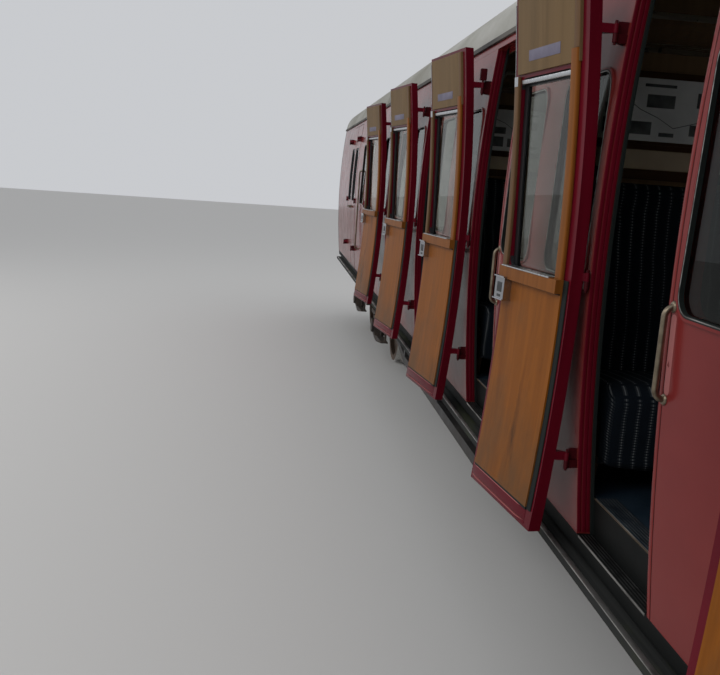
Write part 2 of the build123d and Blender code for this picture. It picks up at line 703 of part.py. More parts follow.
# Side view of the hook: distance from the headstock and height over the coupling's centre
HOOK_OUTLINE = (
    (DRAW_PLATE, -32.0),
    (200.0, -38.0),
    (262.0, 4.0),
    (258.0, 92.0),
    (222.0, 90.0),
    (210.0, 30.0),
    (160.0, 26.0),
    (150.0, 64.0),
    (DRAW_PLATE, 34.0),
)
with BuildPart() as screw_couplings:
    for end in (-1, 1):
        with BuildSketch(Plane(origin=(end * HALF_LENGTH, 0, COUPLING_Z), z_dir=(end, 0, 0))):
            Rectangle(DRAW_PLATE_WIDTH, DRAW_PLATE_HEIGHT)
        extrude(amount=DRAW_PLATE)
        with BuildSketch(Plane.XZ.offset(-HOOK / 2)):
            with BuildLine():
                Polyline(
                    *[(end * (HALF_LENGTH + out), COUPLING_Z + up) for out, up in HOOK_OUTLINE],
                    close=True,
                )
            make_face()
        extrude(amount=HOOK)
        link_x = end * (HALF_LENGTH + LINK_X)
        for y in (-LINK_Y, LINK_Y):
            with BuildSketch(Plane.XZ.offset(-y - LINK / 2)):
                with Locations((link_x, COUPLING_Z - LINK_DROP / 2)):
                    SlotOverall(LINK_LENGTH, LINK_WIDTH, rotation=90)
            extrude(amount=LINK)
        with BuildSketch(Plane.XZ.offset(-LINK_PIN_LENGTH / 2)):
            with Locations((link_x, COUPLING_Z), (link_x, COUPLING_Z - LINK_DROP)):
                RegularPolygon(LINK_PIN, 8)
        extrude(amount=LINK_PIN_LENGTH)
        with BuildSketch(Plane.XY.offset(COUPLING_Z - LINK_DROP)):
            with Locations((link_x, 0)):
                RegularPolygon(LINK_PIN, 8)
        extrude(amount=-SCREW_DROP)
save(screw_couplings.part, "screw_couplings")

# Brake and heating pipes, hanging in front of the headstocks
PIPE = 30.0
PIPE_Y = 420.0
PIPE_TOP = RAIL + 930.0
PIPE_END = RAIL + 620.0
PIPE_OUT = 150.0
PIPE_SLOPE = 20.0
PIPE_BEND = 80.0
PIPE_HEAD = 44.0
PIPE_HEAD_LENGTH = 70.0
with BuildPart() as end_pipes:
    for end in (-1, 1):
        for y in (-PIPE_Y, PIPE_Y):
            start = (end * HALF_LENGTH, y, PIPE_TOP)
            foot = (end * (HALF_LENGTH + PIPE_OUT), y, PIPE_END)
            with BuildLine() as run:
                FilletPolyline(
                    start,
                    (end * (HALF_LENGTH + PIPE_OUT - PIPE_SLOPE), y, PIPE_TOP),
                    foot,
                    radius=PIPE_BEND,
                )
            with BuildSketch(Plane(origin=start, z_dir=(end, 0, 0))):
                RegularPolygon(PIPE, 8)
            sweep(path=run.wires()[0])
            with BuildSketch(Plane(origin=foot)):
                RegularPolygon(PIPE_HEAD, 8)
            extrude(amount=-PIPE_HEAD_LENGTH)
save(end_pipes.part, "end_pipes")

# Battery boxes hung from the cross bars, on a wider top plate: middle X and Y
BATTERY_BOXES = ((-900.0, -700.0), (900.0, 700.0))
BATTERY_LENGTH = 1300.0
BATTERY_WIDTH = 560.0
BATTERY_HEIGHT = 360.0
BATTERY_PLATE = 60.0
BATTERY_MARGIN = 20.0
with BuildPart() as battery_boxes:
    for x, y in BATTERY_BOXES:
        with BuildSketch(Plane.XY.offset(SOLEBAR_LOW + STEEL)):
            with Locations((x, y)):
                Rectangle(BATTERY_LENGTH, BATTERY_WIDTH)
        extrude(amount=-BATTERY_PLATE)
        with BuildSketch(Plane.XY.offset(SOLEBAR_LOW + STEEL - BATTERY_PLATE)):
            with Locations((x, y)):
                Rectangle(BATTERY_LENGTH - 2 * BATTERY_MARGIN, BATTERY_WIDTH - 2 * BATTERY_MARGIN)
        extrude(amount=BATTERY_PLATE - BATTERY_HEIGHT)
save(battery_boxes.part, "battery_boxes")

# Vacuum brake cylinders, each under a saddle between the middle beams
CYLINDER_X = (-3000.0, 2700.0)
CYLINDER_RADIUS = 265.0
CYLINDER_HEIGHT = 430.0
SADDLE = 40.0
SADDLE_WIDTH = 160.0
PISTON_ROD = 45.0
PISTON_ROD_LENGTH = 110.0
with BuildPart() as brake_cylinders:
    for x in CYLINDER_X:
        top = SOLEBAR_LOW
        with BuildSketch(Plane.XY.offset(top)):
            with Locations((x, 0)):
                Rectangle(SADDLE_WIDTH, 2 * MIDDLE_BEAM_Y)
        extrude(amount=-SADDLE)
        for shape_height, radius in ((CYLINDER_HEIGHT, CYLINDER_RADIUS),
                                     (CYLINDER_HEIGHT + PISTON_ROD_LENGTH, PISTON_ROD)):
            with BuildSketch(Plane.XY.offset(top - SADDLE)):
                with Locations((x, 0)):
                    Circle(radius)
            extrude(amount=-shape_height)
save(brake_cylinders.part, "brake_cylinders")

# Dynamo under its own saddle, with the pulley at one end
DYNAMO_X = -3700.0
DYNAMO_Z = RAIL + 760.0
DYNAMO_RADIUS = 170.0
DYNAMO_LENGTH = 600.0
PULLEY_RADIUS = 110.0
PULLEY_WIDTH = 90.0
DYNAMO_SADDLE = 180.0
with BuildPart() as dynamo:
    for start, length, radius in ((-DYNAMO_LENGTH / 2, DYNAMO_LENGTH, DYNAMO_RADIUS),
                                  (DYNAMO_LENGTH / 2, PULLEY_WIDTH, PULLEY_RADIUS)):
        with BuildSketch(Plane.XZ.offset(start)):
            with Locations((DYNAMO_X, DYNAMO_Z)):
                Circle(radius)
        extrude(amount=length)
    with BuildSketch(Plane.XY.offset(SOLEBAR_LOW)):
        with Locations((DYNAMO_X, 0)):
            Rectangle(DYNAMO_SADDLE, 2 * MIDDLE_BEAM_Y)
    extrude(amount=DYNAMO_Z + DYNAMO_RADIUS / 2 - SOLEBAR_LOW)
save(dynamo.part, "dynamo")

# Grab handles on the body beside each doorway, on the side that the door opens from
HANDLE_LOW = RAIL + 1785.0
HANDLE_HIGH = RAIL + 2050.0
HANDLE_OUT = 35.0
HANDLE_BAR = 11.0
HANDLE_SIDE = 33.0
GUARD_RAIL_X = (GUARD_DOOR_X + LUGGAGE_DOOR_X) / 2 + 112.0
GUARD_RAIL_LOW = RAIL + 1435.0
GUARD_RAIL_HIGH = RAIL + 2450.0


def trim_to_sides():
    """Cut off what reaches under the outer surface of the sides, so that it sits on their curve."""
    for side in (-1, 1):
        with BuildSketch(Plane.YZ.offset(-ROOM_START)) as wall:
            side_band(BODY_LOW, GUTTER, 0, WALL, on_side(side))
        extrude(wall.sketch, amount=2 * ROOM_START, mode=Mode.SUBTRACT)


def grab_handle(x, side, low, high):
    """A bent bar with both feet on the side."""
    foot = side_y(low) - HANDLE_BAR
    head = side_y(high) - HANDLE_BAR
    bar = max(side_y(low), side_y(high)) + HANDLE_OUT - HANDLE_BAR
    with BuildLine() as path:
        FilletPolyline(
            (x, side * foot, low),
            (x, side * bar, low),
            (x, side * bar, high),
            (x, side * head, high),
            radius=28.0,
        )
    with BuildSketch(Plane(origin=(x, side * foot, low), z_dir=(0, side, 0))) as section:
        RegularPolygon(HANDLE_BAR, 6)
    sweep(section.sketch, path=path.wires()[0])


with BuildPart() as grab_handles:
    for side in (-1, 1):
        for x in COMPARTMENT_X + [GUARD_DOOR_X]:
            grab_handle(x - side * (DOORWAY / 2 + HANDLE_SIDE), side, HANDLE_LOW, HANDLE_HIGH)
        grab_handle(GUARD_RAIL_X, side, GUARD_RAIL_LOW, GUARD_RAIL_HIGH)
    trim_to_sides()
save(grab_handles.part, "grab_handles")

# Doors. Each is built shut, with its hinge axis on Z and the coach's inside at +Y, reaching
# towards +X (hand 1) or -X (hand -1). Name, room, side, hand, doorway, hinge X, open at rest.
HINGE_Y = HALF_WIDTH + HINGE_OUT
DOORS = []
for side, side_name in ((-1, "platform"), (1, "far")):
    for index, x in enumerate(COMPARTMENT_X):
        DOORS.append((f"door_{side_name}_{index + 1}", side, 1, DOORWAY,
                      x + side * DOORWAY / 2, side < 0))
    DOORS.append((f"door_{side_name}_guard", side, 1, DOORWAY,
                  GUARD_DOOR_X + side * DOORWAY / 2, False))
    for leaf, hand in (("a", 1), ("b", -1)):
        DOORS.append((f"door_{side_name}_luggage_{leaf}", side, hand, LUGGAGE_DOORWAY / 2,
                      LUGGAGE_DOOR_X + side * hand * LUGGAGE_DOORWAY / 2, False))

KNUCKLE = 9.0
KNUCKLE_HEIGHT = 30.0
KNUCKLE_GAP = 1.0
ARM_START = 8.0
ARM_END = 46.0
ARM_SINK = 12.0
LINING_EDGE = 52.0
LINING_LOW = DOOR_LOW + 95.0
SILL_CAP = 50.0
SILL_REACH = 24.0
SILL_MARGIN = 47.0
LOCK_WIDTH = 90.0
LOCK_HEIGHT = 90.0
LOCK_DEPTH = 32.0
LOCK_Z = RAIL + 1945.0
HANDLE_DEPTH = 45.0
HANDLE_WIDTH = 30.0
LINING_SINK = 6.0
GROOVE = 12.0
DROPLIGHT_FRAME = 18.0
DROPLIGHT_RAIL = 28.0
DROPLIGHT_DEPTH = 26.0
DROPLIGHT_SHIFT = 18.0
DROPLIGHT_POCKET = 30.0


def on_door(z, depth):
    """Place a layer of the side behind the hinge axis, with the inside of the coach at +Y."""
    return (HINGE_OUT + HALF_WIDTH - side_y(z, depth), z)


def door_plane(x, z, depth):
    """Plane on a layer of the door, its normal pointing out of the coach."""
    radius = side_radius(z)
    out = sqrt(1.0 - ((z - WAIST) / radius) ** 2)
    return Plane(
        origin=(x, on_door(z, depth)[0], z),
        x_dir=(1, 0, 0),
        z_dir=(0, -out, (z - WAIST) / radius),
    )


def arm_plan(z, way):
    """Plan of one hinge arm: a knuckle on the axis and a strap back into the surface."""
    surface = on_door(z, 0)[0]
    with BuildSketch() as plan:
        Circle(KNUCKLE)
        with BuildLine():
            Polyline(
                (0, -KNUCKLE),
                (way * ARM_END, surface - ARM_START),
                (way * ARM_END, surface + ARM_SINK),
                (way * ARM_START, surface + ARM_SINK),
                (0, KNUCKLE),
                close=True,
            )
        make_face()
    return plan.sketch


def door_slab(start, end, low, high, outer, inner, hand):
    """Extrude a band of the door between two distances from its hinge."""
    first, last = sorted((hand * start, hand * end))
    with BuildSketch(Plane.YZ.offset(first)) as section:
        side_band(low, high, outer, inner, on_door)
    extrude(section.sketch, amount=last - first)


def make_door(hand, doorway):
    """One shut door with its lining, sill cap, lock, handle, hinge knuckles and droplight."""
    free = doorway - DOOR_GAP
    window = DROPLIGHT - (DOORWAY - doorway)
    window_plane = door_plane(
        hand * (doorway / 2 + DROPLIGHT_SHIFT), WINDOW_MIDDLE, DROPLIGHT_DEPTH)
    lock_x = hand * (free - SILL_MARGIN + DOOR_GAP - LOCK_WIDTH / 2)
    with BuildPart() as door:
        door_slab(DOOR_GAP, free, DOOR_LOW, DOOR_HIGH, 0, DOOR_SHELL, hand)
        for low, high in ((LINING_LOW, SILL - SILL_CAP),
                          (SILL + WINDOW_HEIGHT + REBATE, DOOR_HIGH - DOOR_BEVEL)):
            door_slab(LINING_EDGE, free - SILL_MARGIN, low, high, DOOR_SHELL, DOOR_THICKNESS, hand)
        # The free edge is bevelled so that it swings past the jamb
        with BuildSketch(Plane.XY.offset(DOOR_LOW)):
            with BuildLine():
                Polyline(
                    (hand * free, HINGE_OUT),
                    (hand * (free - DOOR_BEVEL), HINGE_OUT + 2 * WALL),
                    (hand * (free + DOOR_BEVEL), HINGE_OUT + 2 * WALL),
                    (hand * (free + DOOR_BEVEL), HINGE_OUT),
                    close=True,
                )
            make_face()
        extrude(amount=DOOR_HIGH - DOOR_LOW, mode=Mode.SUBTRACT)
        door_slab(DOOR_GAP + SILL_MARGIN, free - SILL_MARGIN, SILL - SILL_CAP, SILL,
                  DOOR_SHELL, DOOR_THICKNESS + SILL_REACH, hand)
        with BuildSketch(window_plane):
            RectangleRounded(window, WINDOW_HEIGHT, DROPLIGHT_RADIUS)
        extrude(amount=WALL, both=True, mode=Mode.SUBTRACT)
        with BuildSketch(window_plane):
            with Locations((0, -DROPLIGHT_POCKET / 2)):
                Rectangle(window + 2 * GROOVE, WINDOW_HEIGHT + 2 * GROOVE + DROPLIGHT_POCKET)
        extrude(amount=DROPLIGHT_FRAME / 2 + SLIDE_FIT, both=True, mode=Mode.SUBTRACT)
        with BuildSketch(door_plane(lock_x, LOCK_Z, DOOR_THICKNESS - LINING_SINK)):
            Rectangle(LOCK_WIDTH, LOCK_HEIGHT)
        extrude(amount=-LOCK_DEPTH - LINING_SINK)
        with BuildSketch(door_plane(lock_x, LOCK_Z, LINING_SINK)):
            SlotOverall(LOCK_WIDTH, HANDLE_WIDTH)
        extrude(amount=HANDLE_DEPTH)
        for z in HINGE_HEIGHTS:
            with BuildSketch(Plane.XY.offset(z - KNUCKLE_HEIGHT / 2)):
                add(arm_plan(z, hand))
            extrude(amount=KNUCKLE_HEIGHT)
    with BuildPart() as droplight:
        frame_width = window + 2 * (GROOVE - SLIDE_FIT)
        frame_height = WINDOW_HEIGHT + 2 * (GROOVE - SLIDE_FIT) + DROPLIGHT_POCKET
        frame_rail = DROPLIGHT_RAIL + GROOVE
        with BuildSketch(window_plane):
            with Locations((0, -DROPLIGHT_POCKET / 2)):
                Rectangle(frame_width, frame_height)
        extrude(amount=DROPLIGHT_FRAME / 2, both=True)
        for face in (1, -1):
            with BuildSketch(window_plane.offset(face * PANE / 2)):
                with Locations((0, -DROPLIGHT_POCKET / 2)):
                    Rectangle(frame_width - 2 * frame_rail, frame_height - 2 * frame_rail)
            extrude(amount=face * DROPLIGHT_FRAME, mode=Mode.SUBTRACT)
    return Compound(door.part.solids() + droplight.part.solids())


SHUT_DOORS = {(hand, doorway): make_door(hand, doorway)
              for hand, doorway in {(hand, doorway) for _, _, hand, doorway, _, _ in DOORS}}
for name, side, hand, doorway, hinge_x, is_open in DOORS:
    turn = (180.0 if side > 0 else 0.0) - (DOOR_SWING * hand if is_open else 0.0)
    place = Location((hinge_x, side * HINGE_Y, 0), (0, 0, turn))
    save(SHUT_DOORS[hand, doorway].moved(place), name)

# Hinge leaves on the body: one knuckle under each knuckle of a door
with BuildPart() as hinge_leaves:
    for z in HINGE_HEIGHTS:
        with BuildSketch(Plane.XY.offset(z - KNUCKLE_HEIGHT / 2 - KNUCKLE_GAP)):
            for name, side, hand, doorway, hinge_x, is_open in DOORS:
                turn = 180.0 if side > 0 else 0.0
                with Locations(Location((hinge_x, side * HINGE_Y, 0), (0, 0, turn))):
                    add(arm_plan(z, -hand))
        extrude(amount=-KNUCKLE_HEIGHT)
    trim_to_sides()
save(hinge_leaves.part, "hinge_leaves")

# Bogies. Each turns on its pivot under the underframe and carries two wheelsets.
FRAME_Y = 1000.0
FRAME_PLATE = 24.0
FRAME_FLANGE = 110.0
FRAME_HALF = 1860.0
FRAME_TOP = RAIL + 900.0
FRAME_LOW = RAIL + 640.0
END_LOW = RAIL + 730.0
END_BAR = 40.0
HORN_LOW = RAIL + 345.0
HORN_HALF = 190.0
HORN_TOP_GAP = 60.0
BOX_HALF = 105.0
BOX_WIDTH = 150.0
BOX_OUT = 10.0
BOX_LOW = AXLE - 120.0
BOX_TOP = AXLE + 130.0
BOX_COVER = 90.0
BOX_COVER_DEPTH = 35.0
TRANSOM_X = 330.0
TRANSOM = 90.0
BOLSTER_HALF = FRAME_Y - 60.0
BOLSTER_WIDTH = 420.0
BOLSTER_LOW = RAIL + 700.0
BOLSTER_TOP = RAIL + 890.0
PIVOT_RADIUS = 150.0
PLANK_LOW = RAIL + 400.0
PLANK = 60.0
COIL_Y = FRAME_Y - 160.0
COIL_SPACING = 170.0
COIL_RADIUS = 70.0
SWING_LINK = 40.0
JOURNAL = 65.0
JOURNAL_END = FRAME_Y + 60.0
SPRING_LENGTH = 1180.0
SPRING_LEAF = 14.0
SPRING_LEAVES = 6
SPRING_WIDTH = 90.0
BACK_TO_BACK = 1360.0
WHEEL_WIDTH = 127.0
FLANGE = RAIL
FLANGE_WIDTH = 30.0
AXLE_RADIUS = 82.0
HUB_RADIUS = 135.0
HUB_BACK = BACK_TO_BACK / 2 - 40.0
HUB_FRONT = BACK_TO_BACK / 2 + WHEEL_WIDTH + 10.0
WEB_BACK = BACK_TO_BACK / 2 + 45.0
WEB_FRONT = BACK_TO_BACK / 2 + 75.0
RIM_RADIUS = TREAD_RADIUS - 75.0
WHEEL_FRONT = BACK_TO_BACK / 2 + WHEEL_WIDTH
JOURNAL_START = FRAME_Y - 85.0

# Half of a wheelset's section: distance from the middle and radius
WHEEL_SECTION = (
    (0, 0),
    (0, AXLE_RADIUS),
    (HUB_BACK, AXLE_RADIUS),
    (HUB_BACK, HUB_RADIUS),
    (WEB_BACK, HUB_RADIUS),
    (WEB_BACK, RIM_RADIUS),
    (BACK_TO_BACK / 2, RIM_RADIUS),
    (BACK_TO_BACK / 2, TREAD_RADIUS + FLANGE),
    (BACK_TO_BACK / 2 + FLANGE_WIDTH / 2, TREAD_RADIUS + FLANGE),
    (BACK_TO_BACK / 2 + FLANGE_WIDTH, TREAD_RADIUS),
    (WHEEL_FRONT, TREAD_RADIUS - 3.0),
    (WHEEL_FRONT, RIM_RADIUS),
    (WEB_FRONT, RIM_RADIUS),
    (WEB_FRONT, HUB_RADIUS),
    (HUB_FRONT, HUB_RADIUS),
    (HUB_FRONT, JOURNAL + 13.0),
    (JOURNAL_START, JOURNAL + 13.0),
    (JOURNAL_START, JOURNAL),
    (JOURNAL_END, JOURNAL),
    (JOURNAL_END, 0),
)
BRAKE_GAP = 14.0
BRAKE_BLOCK = 55.0
BRAKE_HALF_ANGLE = 16.0
BRAKE_BEAM = 60.0
BRAKE_HANGER = 26.0
BRAKE_HANGER_Y = FRAME_Y - FRAME_PLATE - BRAKE_HANGER / 2

for bogie, bogie_x in (("a", BOGIE_CENTRES / 2), ("b", -BOGIE_CENTRES / 2)):
    axles = (bogie_x + WHEELBASE / 2, bogie_x - WHEELBASE / 2)

    # Frame: two side plates with horns for the axleboxes, end bars and transoms
    with BuildPart() as bogie_frame:
        for y in (-FRAME_Y, FRAME_Y):
            with BuildSketch(Plane.XZ.offset(-y - FRAME_PLATE / 2)):
                with BuildLine():
                    Polyline(
                        (bogie_x - FRAME_HALF, FRAME_TOP),
                        (bogie_x - FRAME_HALF, END_LOW),
                        (bogie_x - WHEELBASE / 2 - HORN_HALF, END_LOW),
                        (bogie_x - WHEELBASE / 2 - HORN_HALF, HORN_LOW),
                        (bogie_x - WHEELBASE / 2 + HORN_HALF, HORN_LOW),
                        (bogie_x - WHEELBASE / 2 + HORN_HALF, FRAME_LOW),
                        (bogie_x + WHEELBASE / 2 - HORN_HALF, FRAME_LOW),
                        (bogie_x + WHEELBASE / 2 - HORN_HALF, HORN_LOW),
                        (bogie_x + WHEELBASE / 2 + HORN_HALF, HORN_LOW),
                        (bogie_x + WHEELBASE / 2 + HORN_HALF, END_LOW),
                        (bogie_x + FRAME_HALF, END_LOW),
                        (bogie_x + FRAME_HALF, FRAME_TOP),
                        close=True,
                    )
                make_face()
                horn_gap = BOX_TOP + HORN_TOP_GAP - HORN_LOW
                with Locations(*[(axle, HORN_LOW + horn_gap / 2) for axle in axles]):
                    Rectangle(2 * BOX_HALF, horn_gap, mode=Mode.SUBTRACT)
            extrude(amount=FRAME_PLATE)
            with BuildSketch(Plane.XY.offset(FRAME_TOP - STEEL)):
                with Locations((bogie_x, y)):
                    Rectangle(2 * FRAME_HALF, FRAME_FLANGE)
            extrude(amount=STEEL)
        with BuildSketch(Plane.XY.offset(END_LOW)):
            with Locations((bogie_x, 0)):
                with GridLocations(2 * FRAME_HALF - END_BAR, 1, 2, 1):
                    Rectangle(END_BAR, 2 * FRAME_Y)
        extrude(amount=FRAME_TOP - END_LOW)
        with BuildSketch(Plane.XY.offset(FRAME_LOW)):
            with Locations((bogie_x - TRANSOM_X, 0), (bogie_x + TRANSOM_X, 0)):
                Rectangle(TRANSOM, 2 * FRAME_Y)
        extrude(amount=FRAME_TOP - FRAME_LOW)
    save(bogie_frame.part, f"bogie_{bogie}_frame")

    # Bolster: a beam with the pivot on top, on coil springs over a plank hung from the transoms
    with BuildPart() as bolster:
        for low, height, width, half in (
                (BOLSTER_LOW, BOLSTER_TOP - BOLSTER_LOW, BOLSTER_WIDTH, BOLSTER_HALF),
                (PLANK_LOW, PLANK, 2 * TRANSOM_X - TRANSOM, BOLSTER_HALF)):
            with BuildSketch(Plane.XY.offset(low)):
                with Locations((bogie_x, 0)):
                    Rectangle(width, 2 * half)
            extrude(amount=height)
        with BuildSketch(Plane.XY.offset(BOLSTER_TOP)):
            with Locations((bogie_x, 0)):
                Circle(PIVOT_RADIUS)
        extrude(amount=SOLEBAR_LOW + STEEL - PIVOT_FIT - BOLSTER_TOP)
        with BuildSketch(Plane.XY.offset(PLANK_LOW + PLANK)):
            with Locations((bogie_x, 0)):
                with GridLocations(COIL_SPACING, 2 * COIL_Y, 2, 2):
                    Circle(COIL_RADIUS)
        extrude(amount=BOLSTER_LOW - PLANK_LOW - PLANK)
        with BuildSketch(Plane.XY.offset(PLANK_LOW + PLANK)):
            with Locations((bogie_x, 0)):
                with GridLocations(2 * TRANSOM_X - TRANSOM - SWING_LINK, 2 * COIL_Y, 2, 2):
                    Rectangle(SWING_LINK, SWING_LINK)
        extrude(amount=BOLSTER_LOW - PLANK_LOW - PLANK)
    save(bolster.part, f"bogie_{bogie}_bolster")

    # Axleboxes, each over its leaf spring, which hangs from the frame by two links
    with BuildPart() as axleboxes:
        for axle in axles:
            for side in (-1, 1):
                y = side * (FRAME_Y + BOX_OUT)
                with BuildSketch(Plane.XY.offset(BOX_LOW)):
                    with Locations((axle, y)):
                        Rectangle(2 * (BOX_HALF - SLIDE_FIT), BOX_WIDTH)
                extrude(amount=BOX_TOP - BOX_LOW)
                cover = (axle, y + side * BOX_WIDTH / 2, AXLE)
                with BuildSketch(Plane(origin=cover, z_dir=(0, side, 0))):
                    Circle(BOX_COVER)
                extrude(amount=BOX_COVER_DEPTH)
                with BuildSketch(Plane(origin=(axle, 0, AXLE), z_dir=(0, side, 0))):
                    Circle(JOURNAL + BEARING_FIT)
                extrude(amount=JOURNAL_END + BEARING_FIT, mode=Mode.SUBTRACT)
                with BuildSketch(Plane.XZ.offset(-y - SPRING_WIDTH / 2)):
                    for leaf in range(SPRING_LEAVES):
                        with Locations((axle, BOX_LOW - SPRING_LEAF * (leaf + 0.5))):
                            Rectangle(SPRING_LENGTH * (1 - leaf / SPRING_LEAVES), SPRING_LEAF)
                extrude(amount=SPRING_WIDTH)
                outwards = 1 if axle > bogie_x else -1
                for way, frame_edge in ((outwards, END_LOW), (-outwards, FRAME_LOW)):
                    link_x = axle + way * (SPRING_LENGTH - SWING_LINK) / 2
                    with BuildSketch(Plane.XY.offset(BOX_LOW)):
                        with Locations((link_x, side * FRAME_Y)):
                            Rectangle(SWING_LINK, FRAME_PLATE)
                    extrude(amount=frame_edge - BOX_LOW)
    save(axleboxes.part, f"bogie_{bogie}_axleboxes")

    # Brakes: a curved block against each tread from the bogie's middle, on beams that hang from
    # the frame's top
    with BuildPart() as brakes:
        for axle, way in zip(axles, (-1, 1)):
            reach = TREAD_RADIUS + BRAKE_GAP
            turn = radians(BRAKE_HALF_ANGLE)
            beam_x = axle + way * (reach + BRAKE_BLOCK)
            for side in (-1, 1):
                tread_y = side * (BACK_TO_BACK / 2 + (WHEEL_WIDTH + FLANGE_WIDTH) / 2)
                tread_width = WHEEL_WIDTH - FLANGE_WIDTH - BRAKE_GAP
                with BuildSketch(Plane.XZ.offset(-tread_y - tread_width / 2)):
                    with BuildLine():
                        ThreePointArc(
                            (axle + way * reach * cos(turn), AXLE - reach * sin(turn)),
                            (axle + way * reach, AXLE),
                            (axle + way * reach * cos(turn), AXLE + reach * sin(turn)),
                        )
                        Polyline(
                            (axle + way * reach * cos(turn), AXLE + reach * sin(turn)),
                            (beam_x, AXLE + reach * sin(turn)),
                            (beam_x, AXLE - reach * sin(turn)),
                            (axle + way * reach * cos(turn), AXLE - reach * sin(turn)),
                        )
                    make_face()
                extrude(amount=tread_width)
                with BuildSketch(Plane.XY.offset(AXLE)):
                    with Locations((beam_x + way * BRAKE_HANGER / 2, side * BRAKE_HANGER_Y)):
                        Rectangle(BRAKE_HANGER, BRAKE_HANGER)
                extrude(amount=FRAME_TOP - STEEL - AXLE)
            with BuildSketch(Plane.XY.offset(AXLE - BRAKE_BEAM / 2)):
                with Locations((beam_x + way * BRAKE_BEAM / 2, 0)):
                    Rectangle(BRAKE_BEAM, 2 * BRAKE_HANGER_Y + BRAKE_HANGER)
            extrude(amount=BRAKE_BEAM)
    save(brakes.part, f"bogie_{bogie}_brakes")

    # Wheelsets: one turned section from journal to journal
    for number, axle in enumerate(axles, start=1):
        centre = (axle, 0, AXLE)
        with BuildPart() as wheelset:
            with BuildSketch(Plane(origin=centre, x_dir=(0, 1, 0), z_dir=(1, 0, 0))):
                for side in (-1, 1):
                    with BuildLine():
                        Polyline(*[(side * y, radius) for y, radius in WHEEL_SECTION], close=True)
                    make_face()
            revolve(axis=Axis(centre, (0, 1, 0)))
        save(wheelset.part, f"wheelset_{bogie}{number}")
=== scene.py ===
import json
from functools import partial
from math import cos, pi, radians, sin

import bmesh
import bpy
import numpy as np
from mathutils import Matrix, Vector


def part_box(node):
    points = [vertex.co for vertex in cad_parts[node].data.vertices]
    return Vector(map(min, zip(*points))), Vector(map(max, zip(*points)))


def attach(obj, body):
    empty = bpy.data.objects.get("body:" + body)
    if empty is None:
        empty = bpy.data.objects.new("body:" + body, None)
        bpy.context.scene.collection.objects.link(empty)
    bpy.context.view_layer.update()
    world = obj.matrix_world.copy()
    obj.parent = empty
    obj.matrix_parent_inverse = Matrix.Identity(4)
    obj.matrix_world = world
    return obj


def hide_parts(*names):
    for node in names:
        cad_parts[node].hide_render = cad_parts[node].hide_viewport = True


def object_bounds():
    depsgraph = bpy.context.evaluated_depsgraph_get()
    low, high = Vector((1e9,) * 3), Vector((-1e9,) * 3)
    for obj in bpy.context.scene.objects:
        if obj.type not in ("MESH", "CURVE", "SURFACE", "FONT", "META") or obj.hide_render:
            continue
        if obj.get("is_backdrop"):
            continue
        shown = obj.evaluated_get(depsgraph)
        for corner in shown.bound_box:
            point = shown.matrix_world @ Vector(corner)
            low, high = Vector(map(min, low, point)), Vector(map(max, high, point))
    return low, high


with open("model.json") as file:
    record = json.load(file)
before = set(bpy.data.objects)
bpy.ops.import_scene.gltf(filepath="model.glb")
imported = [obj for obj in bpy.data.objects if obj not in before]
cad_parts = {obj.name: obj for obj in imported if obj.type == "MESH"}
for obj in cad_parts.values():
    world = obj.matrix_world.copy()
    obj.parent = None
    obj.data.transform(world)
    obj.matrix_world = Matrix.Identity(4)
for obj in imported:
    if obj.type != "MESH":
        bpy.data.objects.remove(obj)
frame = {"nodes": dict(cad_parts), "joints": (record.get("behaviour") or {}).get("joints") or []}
CAD_LOW, CAD_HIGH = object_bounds()

# Camera: at eye height and close to the open doors, looking along the side towards the luggage
# van. It is turned a little to the coach, tipped down and rolled.
EYE = Vector((6.5001, -2.4891, 2.3656))
YAW = 0.108481
PITCH_DOWN = 0.179333
ROLL = 0.0694738
FOCAL = 43.5
SENSOR = 36.0


def placed(name, data):
    """A new object in the scene, at the origin."""
    made = bpy.data.objects.new(name, data)
    bpy.context.collection.objects.link(made)
    return made


ahead = Vector((-cos(YAW) * cos(PITCH_DOWN), sin(YAW) * cos(PITCH_DOWN), -sin(PITCH_DOWN)))
level = Vector((sin(YAW), cos(YAW), 0.0))
upwards = level.cross(ahead)
right = cos(ROLL) * level + sin(ROLL) * upwards
above = cos(ROLL) * upwards - sin(ROLL) * level
camera = placed("camera", bpy.data.cameras.new("camera"))
camera.data.lens = FOCAL
camera.data.sensor_width = SENSOR
camera.data.clip_start = 0.05
camera.data.clip_end = 200.0
camera.matrix_world = Matrix.Translation(EYE) @ Matrix((right, above, -ahead)).transposed().to_4x4()
bpy.context.scene.camera = camera
bpy.context.scene.view_settings.view_transform = "Standard"

# Studio: a pale floor under the flanges and a white surround, lit by wide soft lamps over and
# beside the coach.


def material(name, colour, roughness, **sockets):
    """A new material; its Principled shader gets the plain values named by their sockets."""
    finish = bpy.data.materials.new(name)
    finish.use_nodes = True
    shader = finish.node_tree.nodes["Principled BSDF"]
    shader.inputs["Base Color"].default_value = (*colour, 1.0)
    shader.inputs["Roughness"].default_value = roughness
    for socket, value in sockets.items():
        shader.inputs[socket.replace("_", " ")].default_value = value
    finish.diffuse_color = (*colour, 1.0)
    return finish


FLOOR_HALF = 60.0
floor_mesh = bpy.data.meshes.new("studio_floor")
floor_mesh.from_pydata(
    [(x, y, 0.0) for x, y in ((-1, -1), (1, -1), (1, 1), (-1, 1))], [], [(0, 1, 2, 3)])
floor_mesh.transform(Matrix.Scale(FLOOR_HALF, 4))
floor_mesh.materials.append(material("studio_floor", (0.60, 0.59, 0.57), 0.9))
placed("studio_floor", floor_mesh)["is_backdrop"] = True

world = bpy.data.worlds.new("studio")
bpy.context.scene.world = world
world.use_nodes = True
sky = world.node_tree.nodes["Background"]
sky.inputs["Color"].default_value = (0.94, 0.96, 1.0, 1.0)
sky.inputs["Strength"].default_value = 0.62

